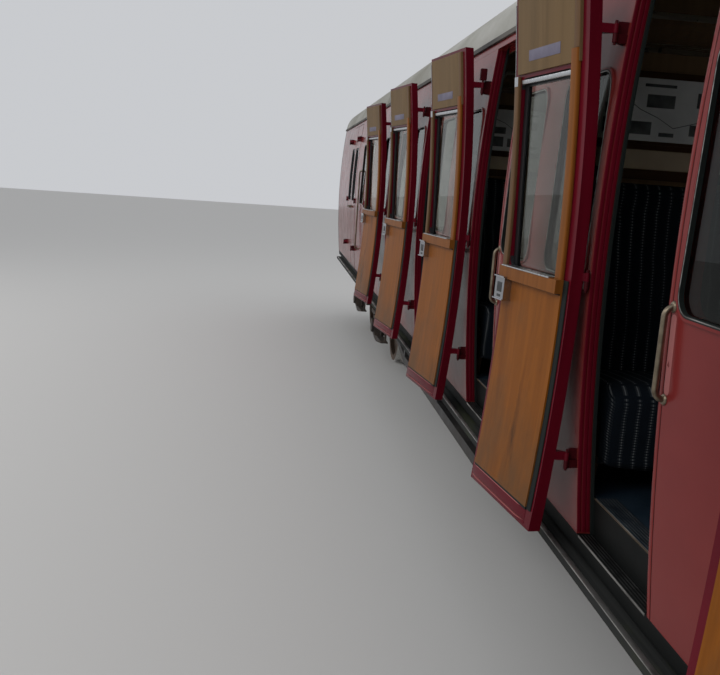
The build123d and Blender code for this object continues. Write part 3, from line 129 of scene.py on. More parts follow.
LAMPS = (
    # name, place, aims at, width, height, power
    ("key", (9.0, -9.0, 9.0), (2.0, -1.3, 1.6), 7.0, 5.0, 330.0),
    ("along", (-4.0, -12.0, 8.0), (-2.0, -1.0, 1.5), 12.0, 5.0, 330.0),
    ("behind", (0.0, 12.0, 8.0), (0.0, 1.0, 1.5), 14.0, 5.0, 500.0),
)
for name, place, aim, width, height, power in LAMPS:
    lamp = bpy.data.lights.new(name, "AREA")
    lamp.shape = "RECTANGLE"
    lamp.size = width
    lamp.size_y = height
    lamp.energy = power
    holder = placed(name, lamp)
    holder.location = place
    holder.rotation_euler = (Vector(aim) - Vector(place)).to_track_quat("-Z", "Y").to_euler()

# Wheels: forged steel discs pressed on the axle. The tread and the flange's root are rolled
# bright, the rest is rust-brown with brake dust.


def shader_node(finish, kind, feeds, **settings):
    """A new node's outputs. feeds gives its inputs, by name or number, a socket or a plain value."""
    node = finish.node_tree.nodes.new(f"ShaderNode{kind}")
    for name, value in settings.items():
        setattr(node, name, value)
    for key, value in feeds.items():
        if isinstance(value, bpy.types.NodeSocket):
            finish.node_tree.links.new(value, node.inputs[key])
        else:
            node.inputs[key].default_value = value
    return node.outputs


def pattern(finish, kind, scale, stretch=(1.0, 1.0, 1.0), bands="X", **feeds):
    """The value of a procedural texture on Object coordinates, stretched along each axis."""
    place = shader_node(finish, "TexCoord", {})["Object"]
    mapped = shader_node(finish, "Mapping", {"Vector": place, "Scale": stretch})["Vector"]
    settings = {"bands_direction": bands} if kind == "Wave" else {}
    texture = shader_node(
        finish, f"Tex{kind}", {"Vector": mapped, "Scale": scale, **feeds}, **settings)
    return texture.get("Fac") or texture[0]


def ramp(finish, value, *stops):
    """A colour or grey read from a value between stops, each a place and a colour."""
    node = finish.node_tree.nodes.new("ShaderNodeValToRGB")
    elements = node.color_ramp.elements
    while len(elements) < len(stops):
        elements.new(0.5)
    for element, (place, colour) in zip(elements, stops):
        element.position = place
        element.color = (*colour, 1.0) if hasattr(colour, "__len__") else (colour,) * 3 + (1.0,)
    finish.node_tree.links.new(value, node.inputs["Fac"])
    return node.outputs["Color"]


def drive(finish, socket, value):
    """Feed one socket of the material's shader."""
    shader = finish.node_tree.nodes["Principled BSDF"]
    finish.node_tree.links.new(value, shader.inputs[socket])


def relief(finish, height, distance, strength=1.0):
    """Bump from a height, in metres, after any that the material already has."""
    feeds = {"Distance": distance, "Strength": strength, "Height": height}
    normal = finish.node_tree.nodes["Principled BSDF"].inputs["Normal"]
    if normal.links:
        feeds["Normal"] = normal.links[0].from_socket
    drive(finish, "Normal", shader_node(finish, "Bump", feeds)["Normal"])


def mottled(name, colour, roughness, noise, shades=(), gloss=(), bump=0.0,
            stretch=(1.0, 1.0, 1.0), **sockets):
    """A material whose colour, roughness and bump follow one noise.

    noise is its scale, detail and roughness; shades and gloss are stops of colour and roughness.
    """
    finish = material(name, colour, roughness, **sockets)
    cloud = pattern(finish, "Noise", noise[0], stretch, **dict(zip(("Detail", "Roughness"), noise[1:])))
    if shades:
        drive(finish, "Base Color", ramp(finish, cloud, *shades))
    if gloss:
        drive(finish, "Roughness", ramp(finish, cloud, *gloss))
    if bump:
        relief(finish, cloud, bump)
    return finish


CREASE = radians(35.0)


def finished(node, ending, slot, *finishes, body="coach", choose=None, bevel=0.003):
    """A copy of a CAD node with its corners joined, smooth curves and softened edges.

    choose takes the faces' centres as an array and gives the index of the finish of each.
    """
    mesh = frame["nodes"][node].data.copy()
    mesh.name = f"{node}_{ending}"
    piece = placed(f"{node}_{ending}", mesh)
    shape = bmesh.new()
    shape.from_mesh(mesh)
    bmesh.ops.remove_doubles(shape, verts=shape.verts, dist=0.00002)
    bmesh.ops.dissolve_limit(
        shape, angle_limit=radians(0.3), verts=shape.verts, edges=shape.edges)
    for face in shape.faces:
        face.smooth = True
    for edge in shape.edges:
        edge.smooth = edge.calc_face_angle(0.0) < CREASE
    shape.to_mesh(mesh)
    shape.free()
    mesh.materials.clear()
    for finish in finishes:
        mesh.materials.append(finish)
    if choose:
        centres = np.empty(3 * len(mesh.polygons))
        mesh.polygons.foreach_get("center", centres)
        index = np.asarray(choose(centres.reshape(-1, 3)), dtype=np.int32)
        mesh.polygons.foreach_set("material_index", index)
    if bevel:
        soften = piece.modifiers.new("edges", "BEVEL")
        soften.width = bevel
        soften.segments = 2
        soften.limit_method = "ANGLE"
        soften.angle_limit = CREASE
        soften.harden_normals = True
    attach(piece, body)
    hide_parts(node)
    return piece


# How far the flanges reach below the treads. Heights on the coach are taken from the treads.
FLANGE = 0.028
AXLE_Z = FLANGE + 0.457
TREAD_ROOT = 0.447
wheel_steel = mottled(
    "wheel_steel", (0.10, 0.075, 0.06), 0.7, (9.0, 8.0, 0.65),
    ((0.3, (0.055, 0.04, 0.032)), (0.7, (0.17, 0.11, 0.075))), bump=0.0015, Metallic=0.35)
tread_steel = mottled(
    "tread_steel", (0.55, 0.54, 0.52), 0.28, (40.0, 3.0), gloss=((0.3, 0.2), (0.7, 0.42)),
    stretch=(1.0, 12.0, 1.0), Metallic=1.0)
for wheelset in ("wheelset_a1", "wheelset_a2", "wheelset_b1", "wheelset_b2"):
    low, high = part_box(wheelset)
    axle_x = (low.x + high.x) / 2

    def on_tread(centres, axle_x=axle_x):
        """Faces further from the axle than the root of the tread."""
        return np.hypot(centres[:, 0] - axle_x, centres[:, 2] - AXLE_Z) > TREAD_ROOT

    finished(wheelset, "turned", "wheel_steel", wheel_steel, tread_steel, body=wheelset,
             choose=on_tread, bevel=0.002)

# Bogies: cast and riveted iron painted black, dulled by brown brake dust. Each frame carries its
# bolster, axleboxes with leaf springs and brake blocks.
bogie_iron = mottled(
    "bogie_iron", (0.045, 0.04, 0.036), 0.75, (6.0, 9.0, 0.7),
    ((0.35, (0.016, 0.015, 0.015)), (0.72, (0.085, 0.06, 0.042))), ((0.3, 0.5), (0.7, 0.9)),
    Metallic=0.2)
relief(bogie_iron, pattern(bogie_iron, "Noise", 60.0, Detail=4.0), 0.0008)
for bogie in ("bogie_a", "bogie_b"):
    for part in ("frame", "bolster", "axleboxes", "brakes"):
        finished(f"{bogie}_{part}", "cast", "bogie_black", bogie_iron, body=bogie)

# Underframe: rolled steel painted black, with its truss bars, end beams and hung boxes. All are
# fixed to the body.
frame_paint = mottled(
    "frame_paint", (0.02, 0.02, 0.021), 0.55, (3.5, 8.0, 0.6),
    ((0.35, (0.010, 0.010, 0.011)), (0.75, (0.045, 0.038, 0.032))), ((0.3, 0.4), (0.7, 0.8)))
relief(frame_paint, pattern(frame_paint, "Noise", 45.0, Detail=3.0), 0.0005)
for part in ("underframe", "truss_frames", "headstocks", "battery_boxes", "brake_cylinders",
             "dynamo"):
    finished(part, "painted", "frame_black", frame_paint)

# Footboards: painted planks, dark and mossy where nobody treads, with a steel angle worn bright
# along the outer edge. They hang on steel brackets from the underframe.


def mixed(finish, factor, first, second):
    """Two colours mixed by a value; the second may be a plain colour."""
    if not isinstance(second, bpy.types.NodeSocket):
        second = (*second, 1.0)
    return shader_node(finish, "Mix", {0: factor, 6: first, 7: second}, data_type="RGBA")[2]


def skin(shape, points):
    """Faces of a grid of points (rows, columns, 3): columns close into a loop, ends are filled."""
    rows, columns = points.shape[:2]
    corners = [shape.verts.new(point) for point in points.reshape(-1, 3)]
    faces = [shape.faces.new(corners[:columns]), shape.faces.new(corners[-columns:])]
    for start in range(0, (rows - 1) * columns, columns):
        for column in range(columns):
            beside = (column + 1) % columns
            faces.append(shape.faces.new((
                corners[start + column], corners[start + beside],
                corners[start + columns + beside], corners[start + columns + column])))
    return faces


def assembled(name, slot, parts, body="coach", crease=CREASE):
    """One piece from several skins, each a grid of points and its finish."""
    shape = bmesh.new()
    finishes = []
    for points, finish in parts:
        if finish not in finishes:
            finishes.append(finish)
        for face in skin(shape, points):
            face.smooth = True
            face.material_index = finishes.index(finish)
    bmesh.ops.recalc_face_normals(shape, faces=shape.faces)
    for edge in shape.edges:
        edge.smooth = edge.calc_face_angle(0.0) < crease
    mesh = bpy.data.meshes.new(name)
    shape.to_mesh(mesh)
    shape.free()
    for finish in finishes:
        mesh.materials.append(finish)
    piece = placed(name, mesh)
    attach(piece, body)
    return piece


def rounded(low_a, high_a, low_b, high_b, radius, steps=3):
    """Loop of a rectangle whose corners are quarter circles, as points (a, b)."""
    turn = np.linspace(0.0, pi / 2, steps)
    corners = ((high_a - radius, high_b - radius), (low_a + radius, high_b - radius),
               (low_a + radius, low_b + radius), (high_a - radius, low_b + radius))
    return np.concatenate([
        np.column_stack((a + radius * np.cos(turn + quarter * pi / 2),
                         b + radius * np.sin(turn + quarter * pi / 2)))
        for quarter, (a, b) in enumerate(corners)])


def block(low, high, radius=0.002):
    """Points of a bar along X with rounded edges, from one corner to the opposite one."""
    loop = rounded(low[1], high[1], low[2], high[2], radius)
    ends = np.array([[low[0]], [high[0]]])
    return np.stack(np.broadcast_arrays(ends, loop[:, 0], loop[:, 1]), axis=-1)


plank_wood = material("plank_wood", (0.02, 0.02, 0.019), 0.9, Specular_IOR_Level=0.2)
moss = pattern(plank_wood, "Noise", 2.2, stretch=(0.6, 3.0, 1.0), Detail=9.0, Roughness=0.65)
plank_grain = pattern(plank_wood, "Noise", 30.0, stretch=(0.05, 3.0, 1.0), Detail=4.0)
drive(plank_wood, "Base Color", mixed(
    plank_wood, ramp(plank_wood, moss, (0.52, 0.0), (0.66, 1.0)),
    ramp(plank_wood, plank_grain, (0.3, (0.010, 0.011, 0.011)), (0.7, (0.030, 0.031, 0.029))),
    (0.035, 0.040, 0.018)))
relief(plank_wood, plank_grain, 0.001)
worn_steel = mottled(
    "worn_steel", (0.36, 0.35, 0.33), 0.42, (25.0, 6.0),
    ((0.35, (0.10, 0.095, 0.09)), (0.6, (0.42, 0.41, 0.39))), ((0.3, 0.7), (0.6, 0.35)),
    stretch=(0.2, 1.0, 1.0), Metallic=0.9)
finished("footboards", "worn", "footboard_wood", plank_wood)
low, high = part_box("footboards")
ANGLE_STEEL = 0.022
STEP_TOP = FLANGE + 1.020
angles = []
for middle in (ANGLE_STEEL / 2 - high.y, high.y - ANGLE_STEEL / 2):
    angles.append((block((low.x, middle - ANGLE_STEEL / 2, STEP_TOP - 0.002),
                         (high.x, middle + ANGLE_STEEL / 2, STEP_TOP + 0.003), 0.0015), worn_steel))
assembled("footboard_edges", "footboard_wood", angles)

# Buffers, couplings and pipes: forged and cast iron bolted to the end beams. The buffer faces are
# greased and dull.
coupling_iron = mottled(
    "coupling_iron", (0.05, 0.043, 0.038), 0.5, (12.0, 7.0, 0.6),
    ((0.35, (0.02, 0.018, 0.017)), (0.7, (0.10, 0.075, 0.055))), bump=0.001, Metallic=0.5)
buffer_steel = mottled(
    "buffer_steel", (0.2, 0.19, 0.18), 0.4, (14.0, 7.0),
    ((0.35, (0.06, 0.052, 0.045)), (0.7, (0.18, 0.17, 0.16))), ((0.35, 0.6), (0.7, 0.4)),
    Metallic=0.85)
hose_rubber = material("hose_rubber", (0.022, 0.022, 0.023), 0.65)
relief(hose_rubber, pattern(hose_rubber, "Wave", 60.0, bands="Z"), 0.0006)
finished("buffer_housings", "cast", "frame_black", frame_paint)
finished("buffer_heads", "turned", "buffer_steel", buffer_steel)
finished("screw_couplings", "forged", "coupling_iron", coupling_iron)
finished("end_pipes", "fitted", "hose_rubber", hose_rubber)

# Body sides: steel panels in high gloss maroon, curved from the footboard to the gutter. Each
# doorway has a rubber seal on the lip of its jambs, beads down the jambs and a cover strip.
HALF_WIDTH = 1.3715
WAIST = FLANGE + 2.145
LOWER_RADIUS = 9.0
UPPER_RADIUS = 7.8
DOOR_LOW = FLANGE + 1.110
DOOR_HIGH = FLANGE + 3.080
FLOOR_TOP = FLANGE + 1.245
SILL = FLANGE + 2.035
JAMB_LIP = 0.050
PANEL_BACK = 0.0585
JAMB_BEADS = (
    # depth where it starts and ends, height over the jamb
    (0.001, 0.015, 0.0030), (0.018, 0.034, 0.0035), (0.0345, 0.0485, 0.0022))
# A paler patch beside each door's handle: rubbed paint with a painted reflection on it.
RUB_AND_SHEEN = (0.027, 0.058)
RUB_AND_SHEEN_LOW = FLANGE + 1.800
RUB_AND_SHEEN_HIGH = FLANGE + 2.030


def side_y(z, depth=0.0):
    """Distance from the centre line to a layer of the side: one circle below the waist, one above."""
    radius = np.where(z < WAIST, LOWER_RADIUS, UPPER_RADIUS)
    return HALF_WIDTH - radius + np.sqrt((radius - depth) ** 2 - (z - WAIST) ** 2)


def on_side(side):
    """Place points, given by X, height and depth, in the platform side (-1) or far side (1)."""
    def place(x, z, depth):
        return np.stack(np.broadcast_arrays(x, side * side_y(z, depth), z), axis=-1)
    return place


def upright(place, section, low, high, rows=20):
    """Sweep a rounded section, measured along and into a curved side, from low to high."""
    loop = rounded(*section)
    return place(loop[:, 0], np.linspace(low, high, rows)[:, None], loop[:, 1])


def lengthwise(place, section, start, end):
    """Sweep a rounded section, measured up and into a curved side, from start to end."""
    loop = rounded(*section)
    return place(np.array([[start], [end]]), loop[:, 0], loop[:, 1])


def paint(name, deep, bright, roughness):
    """Old gloss paint: colour that drifts in broad clouds, with a slight orange peel under wax."""
    finish = mottled(name, bright, roughness, (0.9, 5.0, 0.55), ((0.3, deep), (0.7, bright)),
                     stretch=(1.0, 1.0, 1.6), Specular_IOR_Level=0.10)
    drive(finish, "Roughness", ramp(
        finish, pattern(finish, "Noise", 7.0, Detail=6.0), (0.3, roughness), (0.75, roughness + 0.1)))
    relief(finish, pattern(finish, "Noise", 26.0, Detail=2.0), 0.0005, 0.5)
    return finish


maroon = paint("maroon", (0.135, 0.014, 0.014), (0.195, 0.024, 0.022), 0.13)
# A darker copy of the body maroon: painted shade, on the jamb beads, the door shells' edges and inner
# faces and the foot rails.
deep_maroon = paint("deep_maroon", (0.075, 0.0025, 0.008), (0.120, 0.004, 0.012), 0.16)
# A paler maroon: rubbed paint with a painted reflection beside the handles, and painted highlight lines
# along the doors' foot rails.
worn_maroon = paint("worn_maroon", (0.30, 0.075, 0.075), (0.42, 0.15, 0.14), 0.3)
black_paint = paint("black_paint", (0.0020, 0.0028, 0.0030), (0.0080, 0.0085, 0.0080), 0.6)
seal_rubber = material("seal_rubber", (0.007, 0.010, 0.009), 0.7, Specular_IOR_Level=0.2)
relief(seal_rubber, pattern(seal_rubber, "Noise", 80.0, Detail=3.0), 0.0005)
room_paint = mottled("room_paint", (0.11, 0.075, 0.045), 0.5, (3.0, 5.0),
                     ((0.3, (0.085, 0.055, 0.032)), (0.7, (0.14, 0.10, 0.062))))

# Doors as the frame gives them: name, side, hand, hinge, width, and whether they stand open.
# Two luggage doors share one doorway.
DOORS = []
for joint in frame["joints"]:
    if joint["child"].startswith("door_"):
        DOORS.append({
            "body": joint["child"],
            "side": -1 if joint["pos_m"][1] < 0 else 1,
            "hand": -joint["axis"][2],
            "hinge": (joint["pos_m"][0], joint["pos_m"][1]),
            "width": 0.610 if "luggage" in joint["child"] else 0.620,
            "open": joint["range_deg"][0] < 0,
        })
DOORWAYS = []
for door in DOORS:
    if not door["body"].endswith("_b"):
        half = door["width"] * (1.0 if "luggage" in door["body"] else 0.5)
        DOORWAYS.append((door["side"], door["hinge"][0] - door["side"] * half, half, door["body"]))


def side_finish(centres):
    """Paint outside, seal on the jamb lips and plain room paint inside."""
    depth = side_y(centres[:, 2]) - np.abs(centres[:, 1])
    index = np.where(depth > PANEL_BACK, 2, 0)
    for side, middle, half, _ in DOORWAYS:
        inside = (np.abs(centres[:, 0] - middle) < half - 0.0005) & (centres[:, 1] * side > 0)
        index = np.where(inside & (depth > JAMB_LIP - 0.001), 1, index)
    return index


COVER_STRIPS = (
    # where it starts and ends beside the jamb, depth of its face and back, rounding, finish
    (0.003, 0.023, -0.0016, 0.002, 0.0007, maroon),
    (0.0235, 0.0255, -0.0004, 0.001, 0.0003, seal_rubber))
for way, name in ((-1, "platform"), (1, "far")):
    finished(f"side_{name}", "panels", "body_paint", maroon, seal_rubber, room_paint,
             choose=side_finish, bevel=0.002)
    beads = []
    place = on_side(way)
    for side, middle, half, body in DOORWAYS:
        if side != way:
            continue
        for end in (-1, 1):
            jamb = middle + end * half
            # The beads take the shaded maroon: painted shade in the doorway.
            for near, deep, proud in JAMB_BEADS:
                section = (*sorted((jamb - end * proud, jamb + end * 0.002)), near, deep, 0.0020, 4)
                beads.append((upright(place, section, DOOR_LOW + 0.002, DOOR_HIGH - 0.002),
                              deep_maroon))
        free = middle - side * half
        for start, end, near, deep, radius, finish in COVER_STRIPS:
            section = (*sorted((free - side * start, free - side * end)), near, deep, radius)
            beads.append((upright(place, section, DOOR_LOW - 0.004, DOOR_HIGH + 0.004), finish))
        # The paler patch beside the handle: rubbed paint and a painted reflection.
        if "luggage" not in body:
            rub_and_sheen = sorted((free - side * RUB_AND_SHEEN[0], free - side * RUB_AND_SHEEN[1]))
            patch = rounded(*rub_and_sheen, RUB_AND_SHEEN_LOW, RUB_AND_SHEEN_HIGH, 0.014, steps=5)
            beads.append((place(patch[:, 0], patch[:, 1], np.array([[-0.0006], [0.001]])),
                          worn_maroon))
    assembled(f"jamb_beads_{name}", "body_paint", beads)

# Bottom rails, black and dulled by dust under the doors, and cantrails in body maroon over them.
# Both are folded steel along the whole side.
RAIL_BACK = 0.0605


def rail_finish(centres):
    """Outside paint on the rail, room paint on what lies behind it."""
    return (side_y(centres[:, 2]) - np.abs(centres[:, 1]) > RAIL_BACK).astype(int)


for part, finish in (("bottom_rails", black_paint), ("cantrails", maroon)):
    finished(part, "painted", "body_paint", finish, room_paint, choose=rail_finish, bevel=0.002)

# Roof: steel sheet in pale weathered grey, with a dark strip along each gutter that is painted
# shadow, and a cream ceiling. Ends are plain black sheets. Ventilators sit on the crown.
roof_paint = mottled(
    "roof_paint", (0.40, 0.39, 0.37), 0.75, (1.4, 9.0, 0.62),
    ((0.3, (0.19, 0.18, 0.145)), (0.5, (0.32, 0.315, 0.28)), (0.7, (0.45, 0.44, 0.41))),
    stretch=(0.4, 1.0, 1.0))
relief(roof_paint, pattern(roof_paint, "Noise", 18.0, Detail=5.0), 0.001)
# The dark strip along each gutter is painted shadow.
gutter_paint = mottled(
    "gutter_paint", (0.05, 0.045, 0.04), 0.7, (5.0, 7.0),
    ((0.35, (0.025, 0.022, 0.02)), (0.7, (0.10, 0.09, 0.075))), stretch=(0.3, 1.0, 1.0))
ceiling_paint = mottled("ceiling_paint", (0.55, 0.53, 0.47), 0.6, (2.0, 4.0),
                        ((0.3, (0.45, 0.43, 0.37)), (0.7, (0.58, 0.56, 0.50))))
end_paint = paint("end_paint", (0.012, 0.012, 0.013), (0.028, 0.026, 0.025), 0.38)
GUTTER = FLANGE + 3.125
GUTTER_SHADOW_STRIP = 0.0275
_, roof_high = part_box("roof")
GUTTER_Y = roof_high.y - 0.014
SHOULDER = 0.330
ROOF_SHEET = 0.060
CROWN = ((GUTTER_Y ** 2 + (roof_high.z - GUTTER) ** 2 - 2 * GUTTER_Y * SHOULDER)
         / (2 * (roof_high.z - GUTTER - SHOULDER)))


def roof_finish(centres):
    """Ceiling where the surface faces the rooms, the gutter's painted shadow strip at its foot."""
    out = np.abs(centres[:, 1])
    height = centres[:, 2] - GUTTER
    shoulder = SHOULDER - np.hypot(out - (GUTTER_Y - SHOULDER), height)
    crown = CROWN - np.hypot(out, centres[:, 2] - (roof_high.z - CROWN))
    ceiling = np.where(out > GUTTER_Y - SHOULDER * 0.9, shoulder, crown) > ROOF_SHEET * 0.75
    gutter = (height < GUTTER_SHADOW_STRIP) & (out > GUTTER_Y - ROOF_SHEET * 0.75)
    return np.where(gutter, 1, np.where(ceiling, 2, 0))


finished("roof", "sheet", "roof_paint", roof_paint, gutter_paint, ceiling_paint,
         choose=roof_finish, bevel=0.002)
finished("roof_ventilators", "painted", "roof_paint", roof_paint)
finished("end_compartment", "painted", "end_paint", end_paint)
finished("end_van", "painted", "end_paint", end_paint)

# Fixed windows: panes of plain glass, each in a black rubber seal with a worn metal lip pressed
# into it. A rolled rim in body paint brings the side's rounded opening in to the seal.
window_glass = mottled(
    "window_glass", (0.30, 0.36, 0.33), 0.0, (5.0, 6.0),
    ((0.4, (0.26, 0.32, 0.28)), (0.75, (0.36, 0.41, 0.38))), stretch=(1.0, 1.0, 0.4),
    Transmission_Weight=1.0, IOR=1.17)
bright_metal = mottled(
    "bright_metal", (0.50, 0.51, 0.52), 0.26, (90.0, 3.0), gloss=((0.3, 0.2), (0.7, 0.38)),
    stretch=(1.0, 1.0, 0.1), Metallic=1.0)
finished("fixed_glazing", "panes", "window_glass", window_glass, bevel=0.0)

WINDOW_HEIGHT = 0.735
WINDOW_ROUND = 0.065
WINDOW_MIDDLE = SILL + WINDOW_HEIGHT / 2
WINDOW_SLOPE = (WINDOW_MIDDLE - WAIST) / UPPER_RADIUS


def ring(side, middle, width, grow, breadth, low_depth, high_depth):
    """A rounded rectangular frame lying in the side: outer loop, inner loop, and back again.

    It is flat and leans by the slope that the side has at the window's middle.
    """
    loops = []
    for extra, depth in ((grow, high_depth), (grow, low_depth), (grow - breadth, low_depth),
                         (grow - breadth, high_depth)):
        loop = rounded(middle - width / 2 - extra, middle + width / 2 + extra, SILL - extra,
                       SILL + WINDOW_HEIGHT + extra, WINDOW_ROUND + extra, steps=7)
        y = side_y(WINDOW_MIDDLE) - depth - (loop[:, 1] - WINDOW_MIDDLE) * WINDOW_SLOPE
        loops.append(np.column_stack((loop[:, 0], side * y, loop[:, 1])))
    rows = np.stack(loops, axis=1)
    return np.concatenate((rows, rows[:1]))


QUARTERLIGHT = 0.460
QUARTERLIGHT_OFFSET = 0.600
VAN_WINDOW = 0.480
VAN_WINDOW_OFFSET = 0.750
rims = []
seals = []
for side, middle, half, body in DOORWAYS:
    if "luggage" in body:
        continue
    if "guard" in body:
        windows = [(middle - VAN_WINDOW_OFFSET, VAN_WINDOW)]
    else:
        windows = [(middle - QUARTERLIGHT_OFFSET, QUARTERLIGHT),
                   (middle + QUARTERLIGHT_OFFSET, QUARTERLIGHT)]
    for x, width in windows:
        rims.append((ring(side, x, width, 0.0135, 0.0085, 0.0005, 0.0145), maroon))
        seals.append((ring(side, x, width, 0.0055, 0.0095, 0.0010, 0.0146), seal_rubber))
        seals.append((ring(side, x, width, 0.001, 0.003, 0.0003, 0.0148), worn_steel))
assembled("window_rims", "body_paint", rims, crease=radians(60.0))
assembled("window_seals", "hose_rubber", seals, crease=radians(60.0))

# Partitions: varnished boards between the rooms, with dark rails, a pale board over the seats and
# three framed sheets between the picture rails. The sheets bear plain grey blocks and a line.


def timber(name, dark, light, roughness, scale=22.0, along="z"):
    """Varnished wood: long wavering grain along one axis, with finer pores."""
    finish = material(name, light, roughness, Specular_IOR_Level=0.07)
    stretch = {"y": (1.0, 0.05, 1.0), "z": (1.0, 1.0, 0.05)}[along]
    grain = pattern(finish, "Noise", scale, stretch=stretch, Detail=7.0, Roughness=0.62,
                    Distortion=0.6)
    broad = pattern(finish, "Noise", 2.4, stretch=stretch, Detail=3.0)
    drive(finish, "Base Color", mixed(
        finish, ramp(finish, broad, (0.3, 0.25), (0.7, 0.75)),
        ramp(finish, grain, (0.3, dark), (0.62, light)),
        ramp(finish, grain, (0.25, light), (0.75, tuple(1.15 * value for value in light)))))
    drive(finish, "Roughness", ramp(finish, broad, (0.3, roughness), (0.7, roughness + 0.15)))
    relief(finish, grain, 0.0004, 0.6)
    return finish


def tube(path, radius, sides=6):
    """Points of a round bar along a path: a circle square to the path at each of its points."""
    path = np.array(path, float)
    ahead = np.gradient(path, axis=0)
    ahead /= np.linalg.norm(ahead, axis=1, keepdims=True)
    reference = np.eye(3)[np.argmin(np.abs(ahead).sum(axis=0))]
    first = np.cross(ahead, reference)
    first /= np.linalg.norm(first, axis=1, keepdims=True)
    second = np.cross(ahead, first)
    turn = np.linspace(0.0, 2 * pi, sides, endpoint=False)
    return (path[:, None, :] + radius * np.cos(turn)[None, :, None] * first[:, None, :]
            + radius * np.sin(turn)[None, :, None] * second[:, None, :])


PITCH = 1.905
PARTITION = 0.030
ROOM_START = 8.627
PARTITION_X = [ROOM_START - PITCH * number for number in range(1, 7)]
PICTURE_RAILS = (2.552, 2.812)
PICTURE_RAIL_HALF = 0.013
wall_wood = timber("wall_wood", (0.13, 0.080, 0.040), (0.21, 0.130, 0.070), 0.45)
rail_wood = timber("rail_wood", (0.030, 0.014, 0.008), (0.060, 0.028, 0.014), 0.32, along="y")
cream_board = mottled("cream_board", (0.36, 0.31, 0.22), 0.5, (4.0, 6.0),
                      ((0.3, (0.38, 0.29, 0.20)), (0.7, (0.54, 0.43, 0.31))))
plain_sheet = mottled("plain_sheet", (0.62, 0.62, 0.60), 0.35, (6.0, 5.0),
                      ((0.3, (0.60, 0.60, 0.60)), (0.7, (0.80, 0.80, 0.80))))
grey_print = mottled("grey_print", (0.07, 0.075, 0.08), 0.35, (14.0, 6.0),
                     ((0.3, (0.03, 0.033, 0.036)), (0.7, (0.16, 0.165, 0.17))))


def wall_finish(centres):
    """Rails in dark wood: they stand 10 mm out of the boards."""
    from_wall = np.abs((centres[:, 0] - PARTITION_X[0]) / PITCH)
    off = np.abs(from_wall - np.round(from_wall)) * PITCH
    below, over = (np.abs(centres[:, 2] - FLANGE - middle) for middle in PICTURE_RAILS)
    on_rail = np.minimum(below, over) < PICTURE_RAIL_HALF
    return (on_rail & (off > PARTITION / 2 + 0.0005)).astype(int)


finished("partitions", "boards", "wood_panel", wall_wood, rail_wood, choose=wall_finish,
         bevel=0.002)
BACK_TOP = FLOOR_TOP + 1.170
BOARD_HALF = 1.255
BOARD_HIGH = FLANGE + 2.538
FRAME_WIDTH = 0.700
FRAME_STEP = 0.840
FRAME_RAIL = 0.014
FRAME_LOW = FLANGE + 2.560
FRAME_HIGH = FLANGE + 2.852
SHEET_BLOCKS = (
    # distance from the sheet's edge, height over the frame's foot, width, height
    (0.030, 0.040, 0.080, 0.060), (0.035, 0.118, 0.085, 0.040), (0.135, 0.040, 0.100, 0.052),
    (0.205, 0.150, 0.120, 0.052), (0.190, 0.232, 0.135, 0.012), (0.270, 0.036, 0.065, 0.016),
    (0.400, 0.046, 0.080, 0.045), (0.420, 0.160, 0.060, 0.060), (0.545, 0.060, 0.110, 0.050),
    (0.560, 0.175, 0.085, 0.036))
SHEET_LINE = ((0.050, 0.205), (0.110, 0.185), (0.180, 0.140), (0.260, 0.110), (0.330, 0.072),
              (0.480, 0.115), (0.640, 0.140))
WALLS = [(ROOM_START - PITCH * number - (PARTITION / 2 if number else 0.0), -1)
         for number in range(6)]
WALLS += [(wall + PARTITION / 2, 1) for wall in PARTITION_X]
panels = []
for number, wall in enumerate(PARTITION_X):
    for way in (1, -1):
        if way < 0 and number == len(PARTITION_X) - 1:
            continue
        face = wall + way * PARTITION / 2

        def board(low_y, high_y, low_z, high_z, start, end, finish, radius=0.0015):
            """A bar on this face of the wall, from one distance out of it to another."""
            near, far = sorted((face + way * start, face + way * end))
            panels.append((block((near, low_y, low_z), (far, high_y, high_z), radius), finish))

        board(-BOARD_HALF, BOARD_HALF, BACK_TOP + 0.045, BOARD_HIGH, -0.002, 0.003, cream_board)
        board(-BOARD_HALF, BOARD_HALF, BACK_TOP + 0.002, BACK_TOP + 0.043, -0.002, 0.014, rail_wood,
              0.004)
        for middle in (-FRAME_STEP, 0.0, FRAME_STEP):
            left, right = middle - FRAME_WIDTH / 2, middle + FRAME_WIDTH / 2
            board(left + 0.010, right - 0.010, FRAME_LOW + 0.010, FRAME_HIGH - 0.010, 0.0, 0.0112,
                  plain_sheet, 0.0005)
            for low_y, high_y, low_z, high_z in (
                    (left, right, FRAME_LOW, FRAME_LOW + FRAME_RAIL),
                    (left, right, FRAME_HIGH - 0.026, FRAME_HIGH),
                    (left, left + FRAME_RAIL, FRAME_LOW, FRAME_HIGH),
                    (right - FRAME_RAIL, right, FRAME_LOW, FRAME_HIGH)):
                board(low_y, high_y, low_z, high_z, 0.0, 0.0150, rail_wood, 0.003)
            for start, foot, wide, tall in SHEET_BLOCKS:
                board(left + start, left + start + wide, FRAME_LOW + foot, FRAME_LOW + foot + tall,
                      0.011, 0.0118, grey_print, 0.0002)
            line = [(face + way * 0.0112, left + along, FRAME_LOW + up) for along, up in SHEET_LINE]
            panels.append((tube(line, 0.0016), grey_print))
assembled("wall_boards", "wood_panel", panels)

